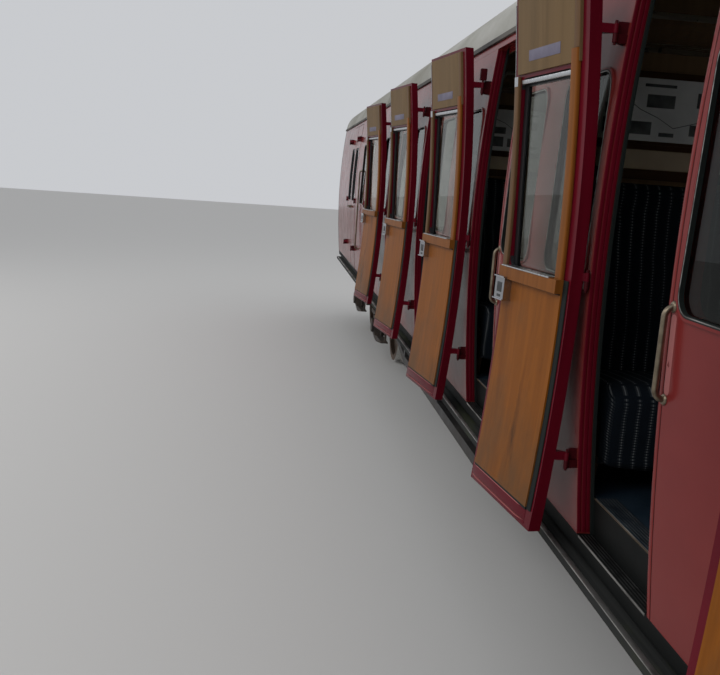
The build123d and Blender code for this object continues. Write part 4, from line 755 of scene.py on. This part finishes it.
# Floor: dark blue-grey sheet over boards. Each doorway has a ribbed aluminium tread plate screwed
# over the floor's edge, and a shallow one on the bottom rail, clear of the door.
lino = mottled(
    "lino", (0.022, 0.028, 0.040), 0.45, (8.0, 9.0, 0.7),
    ((0.35, (0.004, 0.010, 0.018)), (0.75, (0.014, 0.028, 0.044))), ((0.3, 0.3), (0.7, 0.6)))
finished("floor", "sheet", "floor_covering", lino, bevel=0.0)
tread_metal = mottled(
    "tread_metal", (0.16, 0.16, 0.155), 0.4, (12.0, 7.0),
    ((0.35, (0.02, 0.02, 0.02)), (0.7, (0.16, 0.16, 0.155))), Metallic=0.8)
RIB = 0.005
RIB_STEP = 0.012
TREAD_GAP = 0.016
TREAD_PLATES = (
    # depth where it starts and ends, level, height of its ribs, finish
    (0.070, 0.150, FLOOR_TOP, 0.0045, lino),
    (0.003, 0.059, DOOR_LOW - 0.006, 0.0010, black_paint))
treads = []
for side, middle, half, _ in DOORWAYS:
    place = on_side(side)
    span = (middle - half + TREAD_GAP, middle + half - TREAD_GAP)
    for start, end, level, rise, sheet in TREAD_PLATES:
        section = (level - 0.001, level + rise / 2, start, end, rise / 4)
        treads.append((lengthwise(place, section, *span), sheet))
        for rib in np.arange(start + 0.008, end - 0.004, RIB_STEP):
            section = (level - 0.0005, level + rise, rib, rib + RIB, rise / 3)
            treads.append((lengthwise(place, section, *span), tread_metal))
    for level, start in ((FLOOR_TOP - 0.005, 0.0655), (DOOR_LOW - 0.015, -0.0008)):
        section = (level, level + 0.0095, start, start + 0.004, 0.0015)
        treads.append((lengthwise(place, section, *span), worn_steel))
assembled("tread_plates", "rack_metal", treads)

# Seats: two benches in each room, on wooden frames. Cushion and back are sprung pads covered in
# navy pile cloth with a pale stripe every 51 mm, sewn close to the frame.
moquette = material("moquette", (0.012, 0.014, 0.024), 0.95, Specular_IOR_Level=0.1)
STRIPE = 0.051


def maths(finish, how, *values):
    """The result of a sum on sockets or plain values."""
    return shader_node(finish, "Math", dict(enumerate(values)), operation=how)[0]


def coordinate(finish, axis):
    """One of the Object coordinates."""
    place = shader_node(finish, "TexCoord", {})["Object"]
    return shader_node(finish, "SeparateXYZ", {"Vector": place})[axis]


def stripes(finish, spacing, thin, base, line):
    """Navy pile with a broken pale stripe at each step across the bench, like a ladder's rungs."""
    def repeated(value, step):
        """How far a value has come since its last step, as a share of the step."""
        return maths(finish, "FRACT", maths(finish, "DIVIDE", value, step))

    drift = pattern(finish, "Noise", 2.6, stretch=(1.0, 0.3, 1.6), Detail=2.0)
    strayed = maths(finish, "MULTIPLY_ADD", drift, 0.045, coordinate(finish, "Y"))
    off = maths(finish, "ABSOLUTE", maths(finish, "SUBTRACT", repeated(strayed, spacing), 0.5))
    lean = maths(finish, "MULTIPLY", coordinate(finish, "X"), 0.73)
    climb = maths(finish, "ADD", coordinate(finish, "Z"), lean)
    rung = maths(finish, "LESS_THAN", repeated(climb, 0.011), 0.55)
    tick = maths(finish, "MULTIPLY", maths(finish, "LESS_THAN", off, 4.0 * thin), 0.16)
    band = maths(finish, "MAXIMUM", maths(finish, "LESS_THAN", off, thin), tick)
    cloud = ramp(finish, pattern(finish, "Noise", 3.0, Detail=5.0), (0.35, 0.35), (0.65, 1.0))
    factor = maths(finish, "MULTIPLY", maths(finish, "MULTIPLY", band, rung), cloud)
    pile = ramp(finish, pattern(finish, "Noise", 420.0, Detail=2.0),
                (0.3, tuple(0.6 * value for value in base)), (0.7, tuple(1.5 * value for value in base)))
    drive(finish, "Base Color", mixed(finish, factor, pile, line))
    relief(finish, pattern(finish, "Noise", 520.0, Detail=2.0), 0.0008, 0.8)


stripes(moquette, STRIPE, 0.045, (0.004, 0.0065, 0.010), (0.16, 0.17, 0.175))
seat_wood = timber("seat_wood", (0.028, 0.013, 0.007), (0.060, 0.030, 0.015), 0.4, along="y")
BENCH_HALF = 1.240
PAD_CELL = 0.025
PAD_INSET = 0.010
PAD_END = 0.045
CUSHION_TOP = FLOOR_TOP + 0.440
CUSHION_LOW = FLOOR_TOP + 0.270
BACK_FOOT = 0.150
FRONT_BOARD = 0.560
SKIRT = FLOOR_TOP + 0.106
SETTLING = 14


def seat_frame_finish(centres):
    """The front board under the cushion is covered in cloth, the rest is bare wood."""
    out = np.full(len(centres), 9.0)
    for wall, way in WALLS:
        reach = (centres[:, 0] - wall) * way
        out = np.where((reach > -0.01) & (reach < PITCH / 2), reach, out)
    return (np.abs(out - FRONT_BOARD) < 0.002).astype(int)


finished("seat_frames", "boards", "seat_wood", seat_wood, moquette, choose=seat_frame_finish,
         bevel=0.002)


def pad_shape(outline, half, crown, seams):
    """A pad's skin: its outline runs round each row, and rows follow one another across the bench.

    Each row draws in towards its middle near the ends by a quarter circle, and the faces between
    two seams swell by crown times the root of a half sine across the bench.
    """
    rows = int(2 * half / PAD_CELL) + 1
    y = np.linspace(-half, half, rows)
    closed = np.vstack((outline, outline[:1]))
    steps = np.linalg.norm(np.diff(closed, axis=0), axis=1)
    place = np.concatenate(([0.0], np.cumsum(steps)))
    samples = np.linspace(0.0, place[-1], int(place[-1] / PAD_CELL), endpoint=False)
    loop = np.column_stack([np.interp(samples, place, closed[:, axis]) for axis in (0, 1)])
    middle = loop.mean(axis=0)
    near_end = np.clip((half - np.abs(y)) / PAD_END, 0.0, 1.0)
    draw = 1.0 - 0.16 * (1.0 - np.sqrt(1.0 - (1.0 - near_end) ** 2))
    swell = 1.0 + crown * np.abs(np.sin(pi * (y + half) * seams / (2 * half))) ** 0.5
    points = middle + (loop - middle)[None, :, :] * draw[:, None, None] * swell[:, None, None]
    return np.stack(np.broadcast_arrays(points[..., 0], y[:, None], points[..., 1]), axis=-1)


def rounded_outline(corners, radius, steps=4):
    """A closed outline: each corner is a quadratic curve between points short of it on both sides."""
    corners = np.array(corners)
    points = []
    for index, corner in enumerate(corners):
        before = corners[index - 1] - corner
        after = corners[(index + 1) % len(corners)] - corner
        reach = min(radius, 0.45 * np.linalg.norm(before), 0.45 * np.linalg.norm(after))
        start = corner + before / np.linalg.norm(before) * reach
        end = corner + after / np.linalg.norm(after) * reach
        for t in np.linspace(0.0, 1.0, steps):
            points.append((1 - t) ** 2 * start + 2 * t * (1 - t) * corner + t ** 2 * end)
    return np.array(points)


def stuffed(name, points, hold, cap):
    """The pad after cloth simulation: pressure fills it, its hidden faces are pinned.

    hold takes the points and says which stay; no point moves further than cap.
    """
    shape = bmesh.new()
    skin(shape, points)
    bmesh.ops.recalc_face_normals(shape, faces=shape.faces)
    mesh = bpy.data.meshes.new(name)
    shape.to_mesh(mesh)
    shape.free()
    pad = placed(name, mesh)
    rest = points.reshape(-1, 3)
    pins = pad.vertex_groups.new(name="pins")
    pins.add([int(index) for index in np.flatnonzero(hold(rest))], 1.0, "REPLACE")
    cloth = pad.modifiers.new("cloth", "CLOTH")
    cloth.settings.quality = 6
    cloth.settings.use_pressure = True
    cloth.settings.uniform_pressure_force = 3.0
    cloth.settings.vertex_group_mass = "pins"
    cloth.settings.tension_stiffness = 25.0
    cloth.settings.bending_stiffness = 4.0
    cloth.settings.effector_weights.gravity = 0.0
    cloth.point_cache.frame_start = 1
    cloth.point_cache.frame_end = SETTLING
    for moment in range(1, SETTLING + 1):
        bpy.context.scene.frame_set(moment)
    drawn = pad.evaluated_get(bpy.context.evaluated_depsgraph_get())
    moved = np.empty(3 * len(mesh.vertices))
    drawn.data.vertices.foreach_get("co", moved)
    push = moved.reshape(-1, 3) - rest
    length = np.linalg.norm(push, axis=1, keepdims=True)
    settled = rest + push * np.minimum(1.0, cap / np.maximum(length, 1e-9))
    bpy.data.objects.remove(pad)
    bpy.context.scene.frame_set(1)
    mesh.vertices.foreach_set("co", settled.ravel())
    mesh.update()
    return mesh


cushion_mesh = stuffed("bench_cushion", pad_shape(rounded_outline((
    (BACK_FOOT + 0.004, CUSHION_LOW + 0.001), (FRONT_BOARD + 0.004, CUSHION_LOW + 0.001),
    (FRONT_BOARD + 0.004, SKIRT), (BACK_FOOT + 0.450, SKIRT), (BACK_FOOT + 0.458, CUSHION_LOW - 0.02),
    (BACK_FOOT + 0.462, CUSHION_TOP - 0.060), (BACK_FOOT + 0.400, CUSHION_TOP - PAD_INSET),
    (BACK_FOOT + 0.004, CUSHION_TOP - 0.038)), 0.045), BENCH_HALF, 0.004, 4),
    lambda at: (at[:, 0] < BACK_FOOT + 0.008) | (at[:, 0] < FRONT_BOARD + 0.012)
    & (at[:, 2] < CUSHION_LOW + 0.004), 0.010)
back_mesh = stuffed("bench_back", pad_shape(rounded_outline((
    (0.002, CUSHION_LOW + 0.001), (BACK_FOOT - PAD_INSET, CUSHION_LOW + 0.001),
    (BACK_FOOT - PAD_INSET, CUSHION_TOP), (0.125 - PAD_INSET / 2, FLOOR_TOP + 0.700),
    (0.085 - PAD_INSET, BACK_TOP - 0.040), (0.060, BACK_TOP - PAD_INSET), (0.002, BACK_TOP - PAD_INSET)),
    0.035), BENCH_HALF, 0.006, 4),
    lambda at: at[:, 0] < 0.006, 0.010)
for kind, shape, node in (("cushion", cushion_mesh, "seat_cushions"), ("back", back_mesh, "seat_backs")):
    shape.materials.append(moquette)
    shape.polygons.foreach_set("use_smooth", [True] * len(shape.polygons))
    at = np.empty(3 * len(shape.vertices))
    shape.vertices.foreach_get("co", at)
    for number, (wall, way) in enumerate(WALLS, start=1):
        mesh = shape.copy()
        mesh.vertices.foreach_set(
            "co", (at.reshape(-1, 3) * (way, way, 1.0) + (wall, 0.0, 0.0)).ravel())
        pad = placed(f"bench_{kind}_{number}", mesh)
        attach(pad, "coach")
        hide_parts(node)

# Luggage racks: polished tubes on brackets, fixed to the partitions over the seats. Each bed is
# cord, stretched between the tube and the wall.
rack_tube = mottled("rack_tube", (0.34, 0.30, 0.24), 0.3, (20.0, 5.0), gloss=((0.3, 0.22), (0.7, 0.5)),
                    Metallic=0.9)
net_cord = material("net_cord", (0.16, 0.095, 0.045), 0.9)
relief(net_cord, pattern(net_cord, "Wave", 300.0), 0.0005)
finished("luggage_racks", "tubes", "rack_metal", rack_tube, bevel=0.001)
RACK = FLOOR_TOP + 1.700
RACK_WALL = 0.012
RACK_BED = 0.310
RACK_RISE = 0.060
RACK_SAG = 0.030
RACK_HALF = 1.170
nets = []
across = np.linspace(-RACK_HALF, RACK_HALF, 25)
share = np.linspace(0.0, 1.0, 5)
for wall, way in WALLS:
    def cord(share, y, sway=0.0, dip=0.0, **form):
        """A cord of the bed at its share of the way out; the bed hangs by half a sine."""
        nets.append((tube(np.column_stack(np.broadcast_arrays(
            wall + way * (RACK_WALL + share * RACK_BED) + sway, y,
            RACK + share * RACK_RISE - RACK_SAG * np.sin(pi * share) + dip)), **form), net_cord))

    for line in range(1, 9):
        cord(line / 9.0, across, 0.004 * np.sin(across * 37.0 + line * pi),
             0.003 * np.cos(across * 53.0 + line), radius=0.0017, sides=4)
    for y in np.linspace(-RACK_HALF + 0.05, RACK_HALF - 0.05, 40):
        cord(share, y, radius=0.0013, sides=3)
assembled("rack_nets", "rack_metal", nets)

# Ceiling lamps: a round bowl of ribbed opal glass over the middle of each room's floor, screwed to
# the ceiling.
lamp_glass = material("lamp_glass", (0.80, 0.78, 0.70), 0.3, Subsurface_Weight=0.3)
relief(lamp_glass, pattern(lamp_glass, "Wave", 40.0), 0.0004)
finished("ceiling_lamps", "bowls", "lamp_glass", lamp_glass, bevel=0.012)

# Guard's fittings: the hand brake's iron column with its wheel, bolted to the van's floor, and a
# wooden seat on the van's first wall.
GUARD_SEAT_EDGE = 0.45


def fittings_finish(centres):
    """The seat is wood, the brake's column and wheel are iron."""
    return (centres[:, 1] < GUARD_SEAT_EDGE).astype(int)


finished("guard_fittings", "worn", "seat_wood", seat_wood, coupling_iron, choose=fittings_finish,
         bevel=0.002)

# Grab handles: bent bars of dull bronze, screwed to the side by round feet. Hands keep patches of
# them bright.
bronze = mottled(
    "bronze", (0.20, 0.165, 0.115), 0.38, (16.0, 8.0, 0.6),
    ((0.3, (0.085, 0.065, 0.045)), (0.7, (0.30, 0.25, 0.18))), ((0.3, 0.5), (0.7, 0.28)),
    Metallic=0.95)
HANDLE_BAR = 0.0095
HANDLE_BEND = 0.028
HANDLE_OUT = 0.024
HANDLE_ROOT = 0.006
HANDLE_GAP = 0.033
HANDLE_ENDS = (FLANGE + 1.785, FLANGE + 2.050)
TALL_HANDLE = 1.038
TALL_HANDLE_ENDS = (FLANGE + 1.435, FLANGE + 2.450)
HANDLE_FOOT = (
    # radius, distance from the side
    (0.0165, -0.003), (0.0165, 0.003), (0.0135, 0.006), (0.0105, 0.007))


def handle_path(x, side, low, high):
    """From foot to foot: straight out, a quarter circle, up, a quarter circle and straight in."""
    out = max(side_y(low), side_y(high)) + HANDLE_OUT - HANDLE_BEND
    turn = np.linspace(0.0, pi / 2, 7)
    climb = HANDLE_BEND * np.sin(turn)
    fall = HANDLE_BEND * np.cos(turn)
    y = np.concatenate(([side_y(low) - HANDLE_ROOT], out + climb, out + fall,
                        [side_y(high) - HANDLE_ROOT]))
    z = np.concatenate(([low], low + HANDLE_BEND - fall, high - HANDLE_BEND + climb, [high]))
    return np.column_stack((np.full(len(y), x), side * y, z))


bars = []
for way in (-1, 1):
    places = []
    for side, middle, half, body in DOORWAYS:
        if side == way and "luggage" not in body:
            places.append((middle - side * (half + HANDLE_GAP), *HANDLE_ENDS))
        if side == way and "guard" in body:
            tall = (middle - TALL_HANDLE, *TALL_HANDLE_ENDS)
    for x, low_z, high_z in (*places, tall):
        bars.append((tube(handle_path(x, way, low_z, high_z), HANDLE_BAR, 12), bronze))
        for z in (low_z, high_z):
            turn = np.linspace(0.0, 2 * pi, 16, endpoint=False)
            bars.append((np.array([np.column_stack((
                x + radius * np.cos(turn), np.full(16, way * (side_y(z) + out)),
                z + radius * np.sin(turn))) for radius, out in HANDLE_FOOT]), bronze))
handles = assembled("grab_handles_bent", "handle_brass", bars, crease=radians(50.0))
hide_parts("grab_handles")

# Hinge leaves: painted straps let into the side, each with the lower knuckle of its hinge, the
# foot of its pin and a bracket beside it.
hinge_paint = paint("hinge_paint", (0.034, 0.003, 0.005), (0.070, 0.006, 0.009), 0.3)
finished("hinge_leaves", "painted", "hinge_paint", hinge_paint, bevel=0.0015)
HINGE_HEIGHTS = (FLANGE + 1.400, FLANGE + 2.055, FLANGE + 2.890)
HINGE_OUT = 0.012
PIN = 0.0055
LOWER_PIN = (-0.053, -0.017)
UPPER_PIN = (-0.014, 0.026)
BRACKET_NEAR = 0.0145
BRACKET_FAR = 0.0235
BRACKET_LOW = -0.042
BRACKET_HIGH = 0.026
BLOCK_HALF = (0.010, 0.018)
BLOCK_FOOT = 0.025
BLOCK_HEIGHT = 0.062


def pin(x, y, low, high):
    """A piece of a hinge pin, with a point just inside each end that keeps the end flat."""
    return tube([(x, y, z) for z in (low, low + 0.001, high - 0.001, high)], PIN, 10), hinge_paint


fixed = []
for door in DOORS:
    x, y = door["hinge"]
    behind = door["side"] * door["hand"]
    near, far = sorted((x + behind * BRACKET_NEAR, x + behind * BRACKET_FAR))
    for z in HINGE_HEIGHTS:
        fixed.append(pin(x, y, z + LOWER_PIN[0], z + LOWER_PIN[1]))
        root, tip = sorted((door["side"] * (side_y(z) - 0.004),
                            door["side"] * max(side_y(z) - 0.002, abs(y) - HINGE_OUT)))
        fixed.append((block((near, root, z + BRACKET_LOW), (far, tip, z + BRACKET_HIGH)), hinge_paint))
assembled("hinge_brackets", "hinge_paint", fixed)

# Doors: a steel shell in body maroon on three hinges, lined inside with veneered panels, and a
# sliding window that drops behind a wooden sill. All pieces are placed in each door's own frame.
DOOR_SWING = radians(172.0)
DOOR_SHELL = 0.045
LINED = DOOR_SHELL + 0.0005
DROPLIGHT_WIDTH = 0.440
DROPLIGHT_SHIFT = 0.018
DROPLIGHT_DEPTH = 0.026
LOCK = FLANGE + 1.945
LOCK_HALF = 0.047


def door_turn(door):
    """How far a door's own frame is turned from the coach's."""
    return (pi if door["side"] > 0 else 0.0) - (DOOR_SWING * door["hand"] if door["open"] else 0.0)


def on_door(door):
    """Place points, given by distance from the hinge, height and depth, in one door."""
    turn = door_turn(door)

    def place(reach, z, depth):
        x = door["hand"] * reach
        y = HINGE_OUT + HALF_WIDTH - side_y(z, depth)
        return np.stack(np.broadcast_arrays(
            door["hinge"][0] + x * cos(turn) - y * sin(turn),
            door["hinge"][1] + x * sin(turn) + y * cos(turn), z), axis=-1)
    return place


def in_door(door, points):
    """Distance from the hinge, height and depth of points given in the coach's frame."""
    turn = door_turn(door)
    x = points[:, 0] - door["hinge"][0]
    y = points[:, 1] - door["hinge"][1]
    reach = door["hand"] * (x * cos(turn) + y * sin(turn))
    inwards = y * cos(turn) - x * sin(turn)
    return reach, points[:, 2], inwards - HINGE_OUT - HALF_WIDTH + side_y(points[:, 2])


def stained(finish, amount, colour):
    """Lay a colour over the material's own by an amount."""
    own = finish.node_tree.nodes["Principled BSDF"].inputs["Base Color"].links[0].from_socket
    drive(finish, "Base Color", mixed(finish, amount, own, colour))


panel_wood = timber("panel_wood", (0.105, 0.028, 0.003), (0.225, 0.072, 0.008), 0.26, scale=24.0)
tan_wood = timber("tan_wood", (0.085, 0.055, 0.026), (0.155, 0.098, 0.046), 0.42, scale=14.0)
stile_wood = timber("stile_wood", (0.095, 0.030, 0.006), (0.20, 0.068, 0.012), 0.24, scale=30.0)
brown_wood = timber("brown_wood", (0.075, 0.040, 0.018), (0.125, 0.068, 0.032), 0.35, scale=30.0)

# The lower panels turn greyer and darker towards the foot, with dark streaks over them
lowness = shader_node(panel_wood, "MapRange", {
    "Value": coordinate(panel_wood, "Z"), "From Min": DOOR_LOW + 0.55, "From Max": DOOR_LOW + 0.05})
foot_greying = pattern(panel_wood, "Noise", 5.0, stretch=(1.0, 1.0, 0.55), Detail=9.0, Roughness=0.68)
foot_greying = maths(panel_wood, "MULTIPLY_ADD", lowness["Result"], 0.36, foot_greying)
stained(panel_wood, ramp(panel_wood, foot_greying, (0.56, 0.0), (0.92, 0.88)), (0.110, 0.052, 0.020))
streaks = pattern(panel_wood, "Noise", 7.0, stretch=(1.0, 1.0, 0.22), Detail=8.0, Roughness=0.7)
stained(panel_wood, ramp(panel_wood, streaks, (0.57, 0.0), (0.70, 0.8)), (0.045, 0.018, 0.006))

# Dark metal for the droplight's frame; on the window opening's reveal and the lock's insets it is
# painted shade.
dark_metal = material("dark_metal", (0.03, 0.032, 0.034), 0.4, Metallic=0.6)
relief(dark_metal, pattern(dark_metal, "Noise", 70.0), 0.0003)
chrome = mottled("chrome", (0.42, 0.43, 0.46), 0.13, (30.0, 6.0), gloss=((0.35, 0.07), (0.7, 0.25)),
                 Metallic=1.0)
blank_label = mottled("blank_label", (0.14, 0.125, 0.175), 0.5, (12.0, 4.0),
                      ((0.3, (0.11, 0.10, 0.14)), (0.7, (0.17, 0.155, 0.21))),
                      Specular_IOR_Level=0.2)
drop_glass = mottled("drop_glass", (0.66, 0.68, 0.60), 0.0, (5.0, 6.0),
                     ((0.4, (0.60, 0.62, 0.54)), (0.75, (0.76, 0.77, 0.70))),
                     Transmission_Weight=1.0, IOR=1.3)
DOOR_FINISHES = (deep_maroon, panel_wood, tan_wood, chrome, dark_metal, bright_metal, drop_glass,
                 stile_wood, bronze, maroon)
SHADED_MAROON, PANEL, TAN, CHROME, DARK, BRIGHT, GLASS, STILE, BRONZE, OUTSIDE = range(10)


def door_finish(door):
    """Choose a door's finishes by height, distance from the hinge and depth."""
    def choose(centres):
        reach, z, depth = in_door(door, centres)
        flat = side_y(z) - depth - (side_y(WINDOW_MIDDLE) - WINDOW_SLOPE * (z - WINDOW_MIDDLE))
        off = np.abs(flat + DROPLIGHT_DEPTH)
        along = np.abs(reach - door["width"] / 2 - DROPLIGHT_SHIFT)
        # Faces other than the shell's outer skin take the shaded maroon: painted shade.
        index = np.where(np.abs(depth) < 0.001, OUTSIDE, SHADED_MAROON)
        index = np.where((depth > LINED) & (z < SILL - 0.040), PANEL, index)
        index = np.where((depth > LINED) & (z > SILL + 0.700), TAN, index)
        index = np.where((depth > LINED) & (np.abs(z - SILL + 0.025) < 0.027), STILE, index)
        # The window opening's reveal is dark: painted shade in the opening.
        reveal = (along < DROPLIGHT_WIDTH / 2 + 0.001) & (np.abs(
            z - WINDOW_MIDDLE) < WINDOW_HEIGHT / 2 + 0.001) & (np.abs(depth - 0.022) < 0.0215)
        index = np.where(reveal, DARK, index)
        lock = (np.abs(z - LOCK) < LOCK_HALF) & (np.abs(reach - door["width"] + 0.092) < LOCK_HALF)
        index = np.where(lock & (depth > 0.0565), CHROME, index)
        index = np.where(lock & (depth < -0.002), BRONZE, index)
        in_frame = (along < DROPLIGHT_WIDTH / 2 + 0.009) & (z > SILL - 0.045) & (z < SILL + 0.750)
        index = np.where(in_frame & (off < 0.0095), DARK, index)
        index = np.where(in_frame & (off < 0.0095) & (z > SILL + 0.705), BRIGHT, index)
        pane = in_frame & (off < 0.0045) & (along < 0.10) & (z < SILL + 0.70)
        return np.where(pane, GLASS, index)
    return choose


WINDOW_TOP = SILL + WINDOW_HEIGHT
FOOT_RAILS = (
    # lowest, highest, depth, depth at the free end, rounding, finish, distance of its start
    (1.134, 1.178, 0.0545, 0.0500, 0.0045, deep_maroon, 0.056),
    (1.119, 1.131, 0.0540, 0.0483, 0.0045, deep_maroon, 0.056),
    # The two thin strips in the paler maroon are painted highlights along the rails' top edges.
    (1.1755, 1.1790, 0.0550, 0.0505, 0.001, worn_maroon, 0.066),
    (1.1290, 1.1315, 0.0545, 0.0488, 0.001, worn_maroon, 0.066))
for door in DOORS:
    name = door["body"]
    place = on_door(door)
    edge = door["width"] - 0.006
    left = door["width"] / 2 + DROPLIGHT_SHIFT - DROPLIGHT_WIDTH / 2
    right = left + DROPLIGHT_WIDTH
    finished(name, "shell", "door_paint", *DOOR_FINISHES, body=name, choose=door_finish(door),
             bevel=0.0012)
    # Each row: how it runs, its section (edges, depths, rounding), start, end and finish
    pieces = {
        ("stiles", "wood_panel"): (
            # hinge stile, its upper part, free stile, foot of the lower panel
            (upright, (0.056, left - 0.002, 0.044, 0.0615, 0.006, 5), SILL - 0.001,
             WINDOW_TOP + 0.058, stile_wood),
            (upright, (0.053, 0.092, 0.044, 0.0572, 0.002), WINDOW_TOP + 0.060, DOOR_HIGH - 0.022,
             brown_wood),
            (upright, (right + 0.002, right + 0.042, 0.044, 0.0585, 0.004, 4), SILL - 0.001,
             WINDOW_TOP + 0.006, brown_wood),
            (lengthwise, (FLANGE + 1.187, FLANGE + 1.2065, 0.044, 0.0550, 0.0004), 0.052, edge - 0.041,
             panel_wood)),
        ("metalwork", "handle_brass"): (
            # droplight's channel, strip on the sill, strip on the free edge (a painted highlight along
            # the edge's corner), stile's end plate
            (lengthwise, (WINDOW_TOP - 0.024, WINDOW_TOP - 0.006, 0.036, 0.0475, 0.004, 4),
             left + 0.002, right - 0.004, bright_metal),
            (lengthwise, (SILL - 0.001, SILL + 0.004, 0.035, 0.081, 0.0015), left + 0.004,
             right - 0.004, bright_metal),
            (upright, (edge - 0.010, edge - 0.0065, 0.044, 0.0475, 0.001), FLANGE + 2.000,
             DOOR_HIGH - 0.03, bright_metal),
            (partial(upright, rows=3), (right + 0.006, right + 0.038, 0.058, 0.0600, 0.0008),
             WINDOW_TOP - 0.030, WINDOW_TOP + 0.006, bright_metal),
            # lock: flange over and under the box, the latch's tongue and two dark insets, painted shade
            # in place of its holes
            (lengthwise, (LOCK + 0.043, LOCK + 0.049, 0.054, 0.094, 0.002), edge - 0.136,
             edge - 0.038, chrome),
            (lengthwise, (LOCK - 0.049, LOCK - 0.043, 0.054, 0.094, 0.002), edge - 0.136,
             edge - 0.038, chrome),
            (lengthwise, (LOCK - 0.015, LOCK + 0.013, 0.058, 0.076, 0.003), edge - 0.045,
             edge - 0.018, chrome),
            (lengthwise, (LOCK - 0.017, LOCK + 0.023, 0.0865, 0.0876, 0.0004), edge - 0.110,
             edge - 0.062, dark_metal),
            (lengthwise, (LOCK - 0.037, LOCK - 0.027, 0.0865, 0.0876, 0.0004), edge - 0.104,
             edge - 0.068, dark_metal)),
        ("seals", "hose_rubber"): (
            # down the hinge edge, under the sill (a dark strip: the sill's painted shadow line), over
            # the foot rails
            (upright, (0.018, 0.0515, 0.044, 0.0498, 0.002), FLANGE + 1.182, SILL, seal_rubber),
            (lengthwise, (SILL - 0.0555, SILL - 0.0505, 0.044, 0.062, 0.001), 0.055, edge - 0.050,
             seal_rubber),
            (lengthwise, (FLANGE + 1.1785, FLANGE + 1.1875, 0.044, 0.0545, 0.001), 0.050, edge - 0.048,
             seal_rubber)),
        ("label", "wood_panel"): (
            (lengthwise, (WINDOW_TOP + 0.055, WINDOW_TOP + 0.095, 0.0545, 0.0562, 0.0005), 0.198,
             0.462, blank_label),),
    }
    for (ending, slot), rows in pieces.items():
        assembled(f"{name}_{ending}", slot, [
            (sweep(place, section, start, end), finish) for sweep, section, start, end, finish in rows],
            body=name)

    rails = []
    for low, high, proud, end_proud, radius, finish, start in FOOT_RAILS:
        stations = ((start, DOOR_SHELL + 0.001), (0.121, proud), (edge - 0.080, proud),
                    (edge - 0.034, end_proud))
        loops = np.array([rounded(FLANGE + low, FLANGE + high, DOOR_SHELL - 0.001, depth,
                                  min(radius, (depth - DOOR_SHELL + 0.001) * 0.45), 4)
                          for _, depth in stations])
        reach = np.array([[at] for at, _ in stations])
        rails.append((place(reach, loops[..., 0], loops[..., 1]), finish))
    assembled(f"{name}_foot", "door_paint", rails, body=name)

    x, y = door["hinge"]
    pins = [pin(x, y, z + UPPER_PIN[0], z + UPPER_PIN[1]) for z in HINGE_HEIGHTS]
    if name == "door_platform_4":
        half_x, half_y = BLOCK_HALF
        foot = HINGE_HEIGHTS[2] + BLOCK_FOOT
        pins.append((block((x - half_x, y - half_y, foot), (x + half_x, y + half_y, foot + BLOCK_HEIGHT),
                           0.004), hinge_paint))
    assembled(f"{name}_pins", "hinge_paint", pins, body=name)

low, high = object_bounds()
{"cad": [list(CAD_LOW), list(CAD_HIGH)], "visual": [list(low), list(high)]}
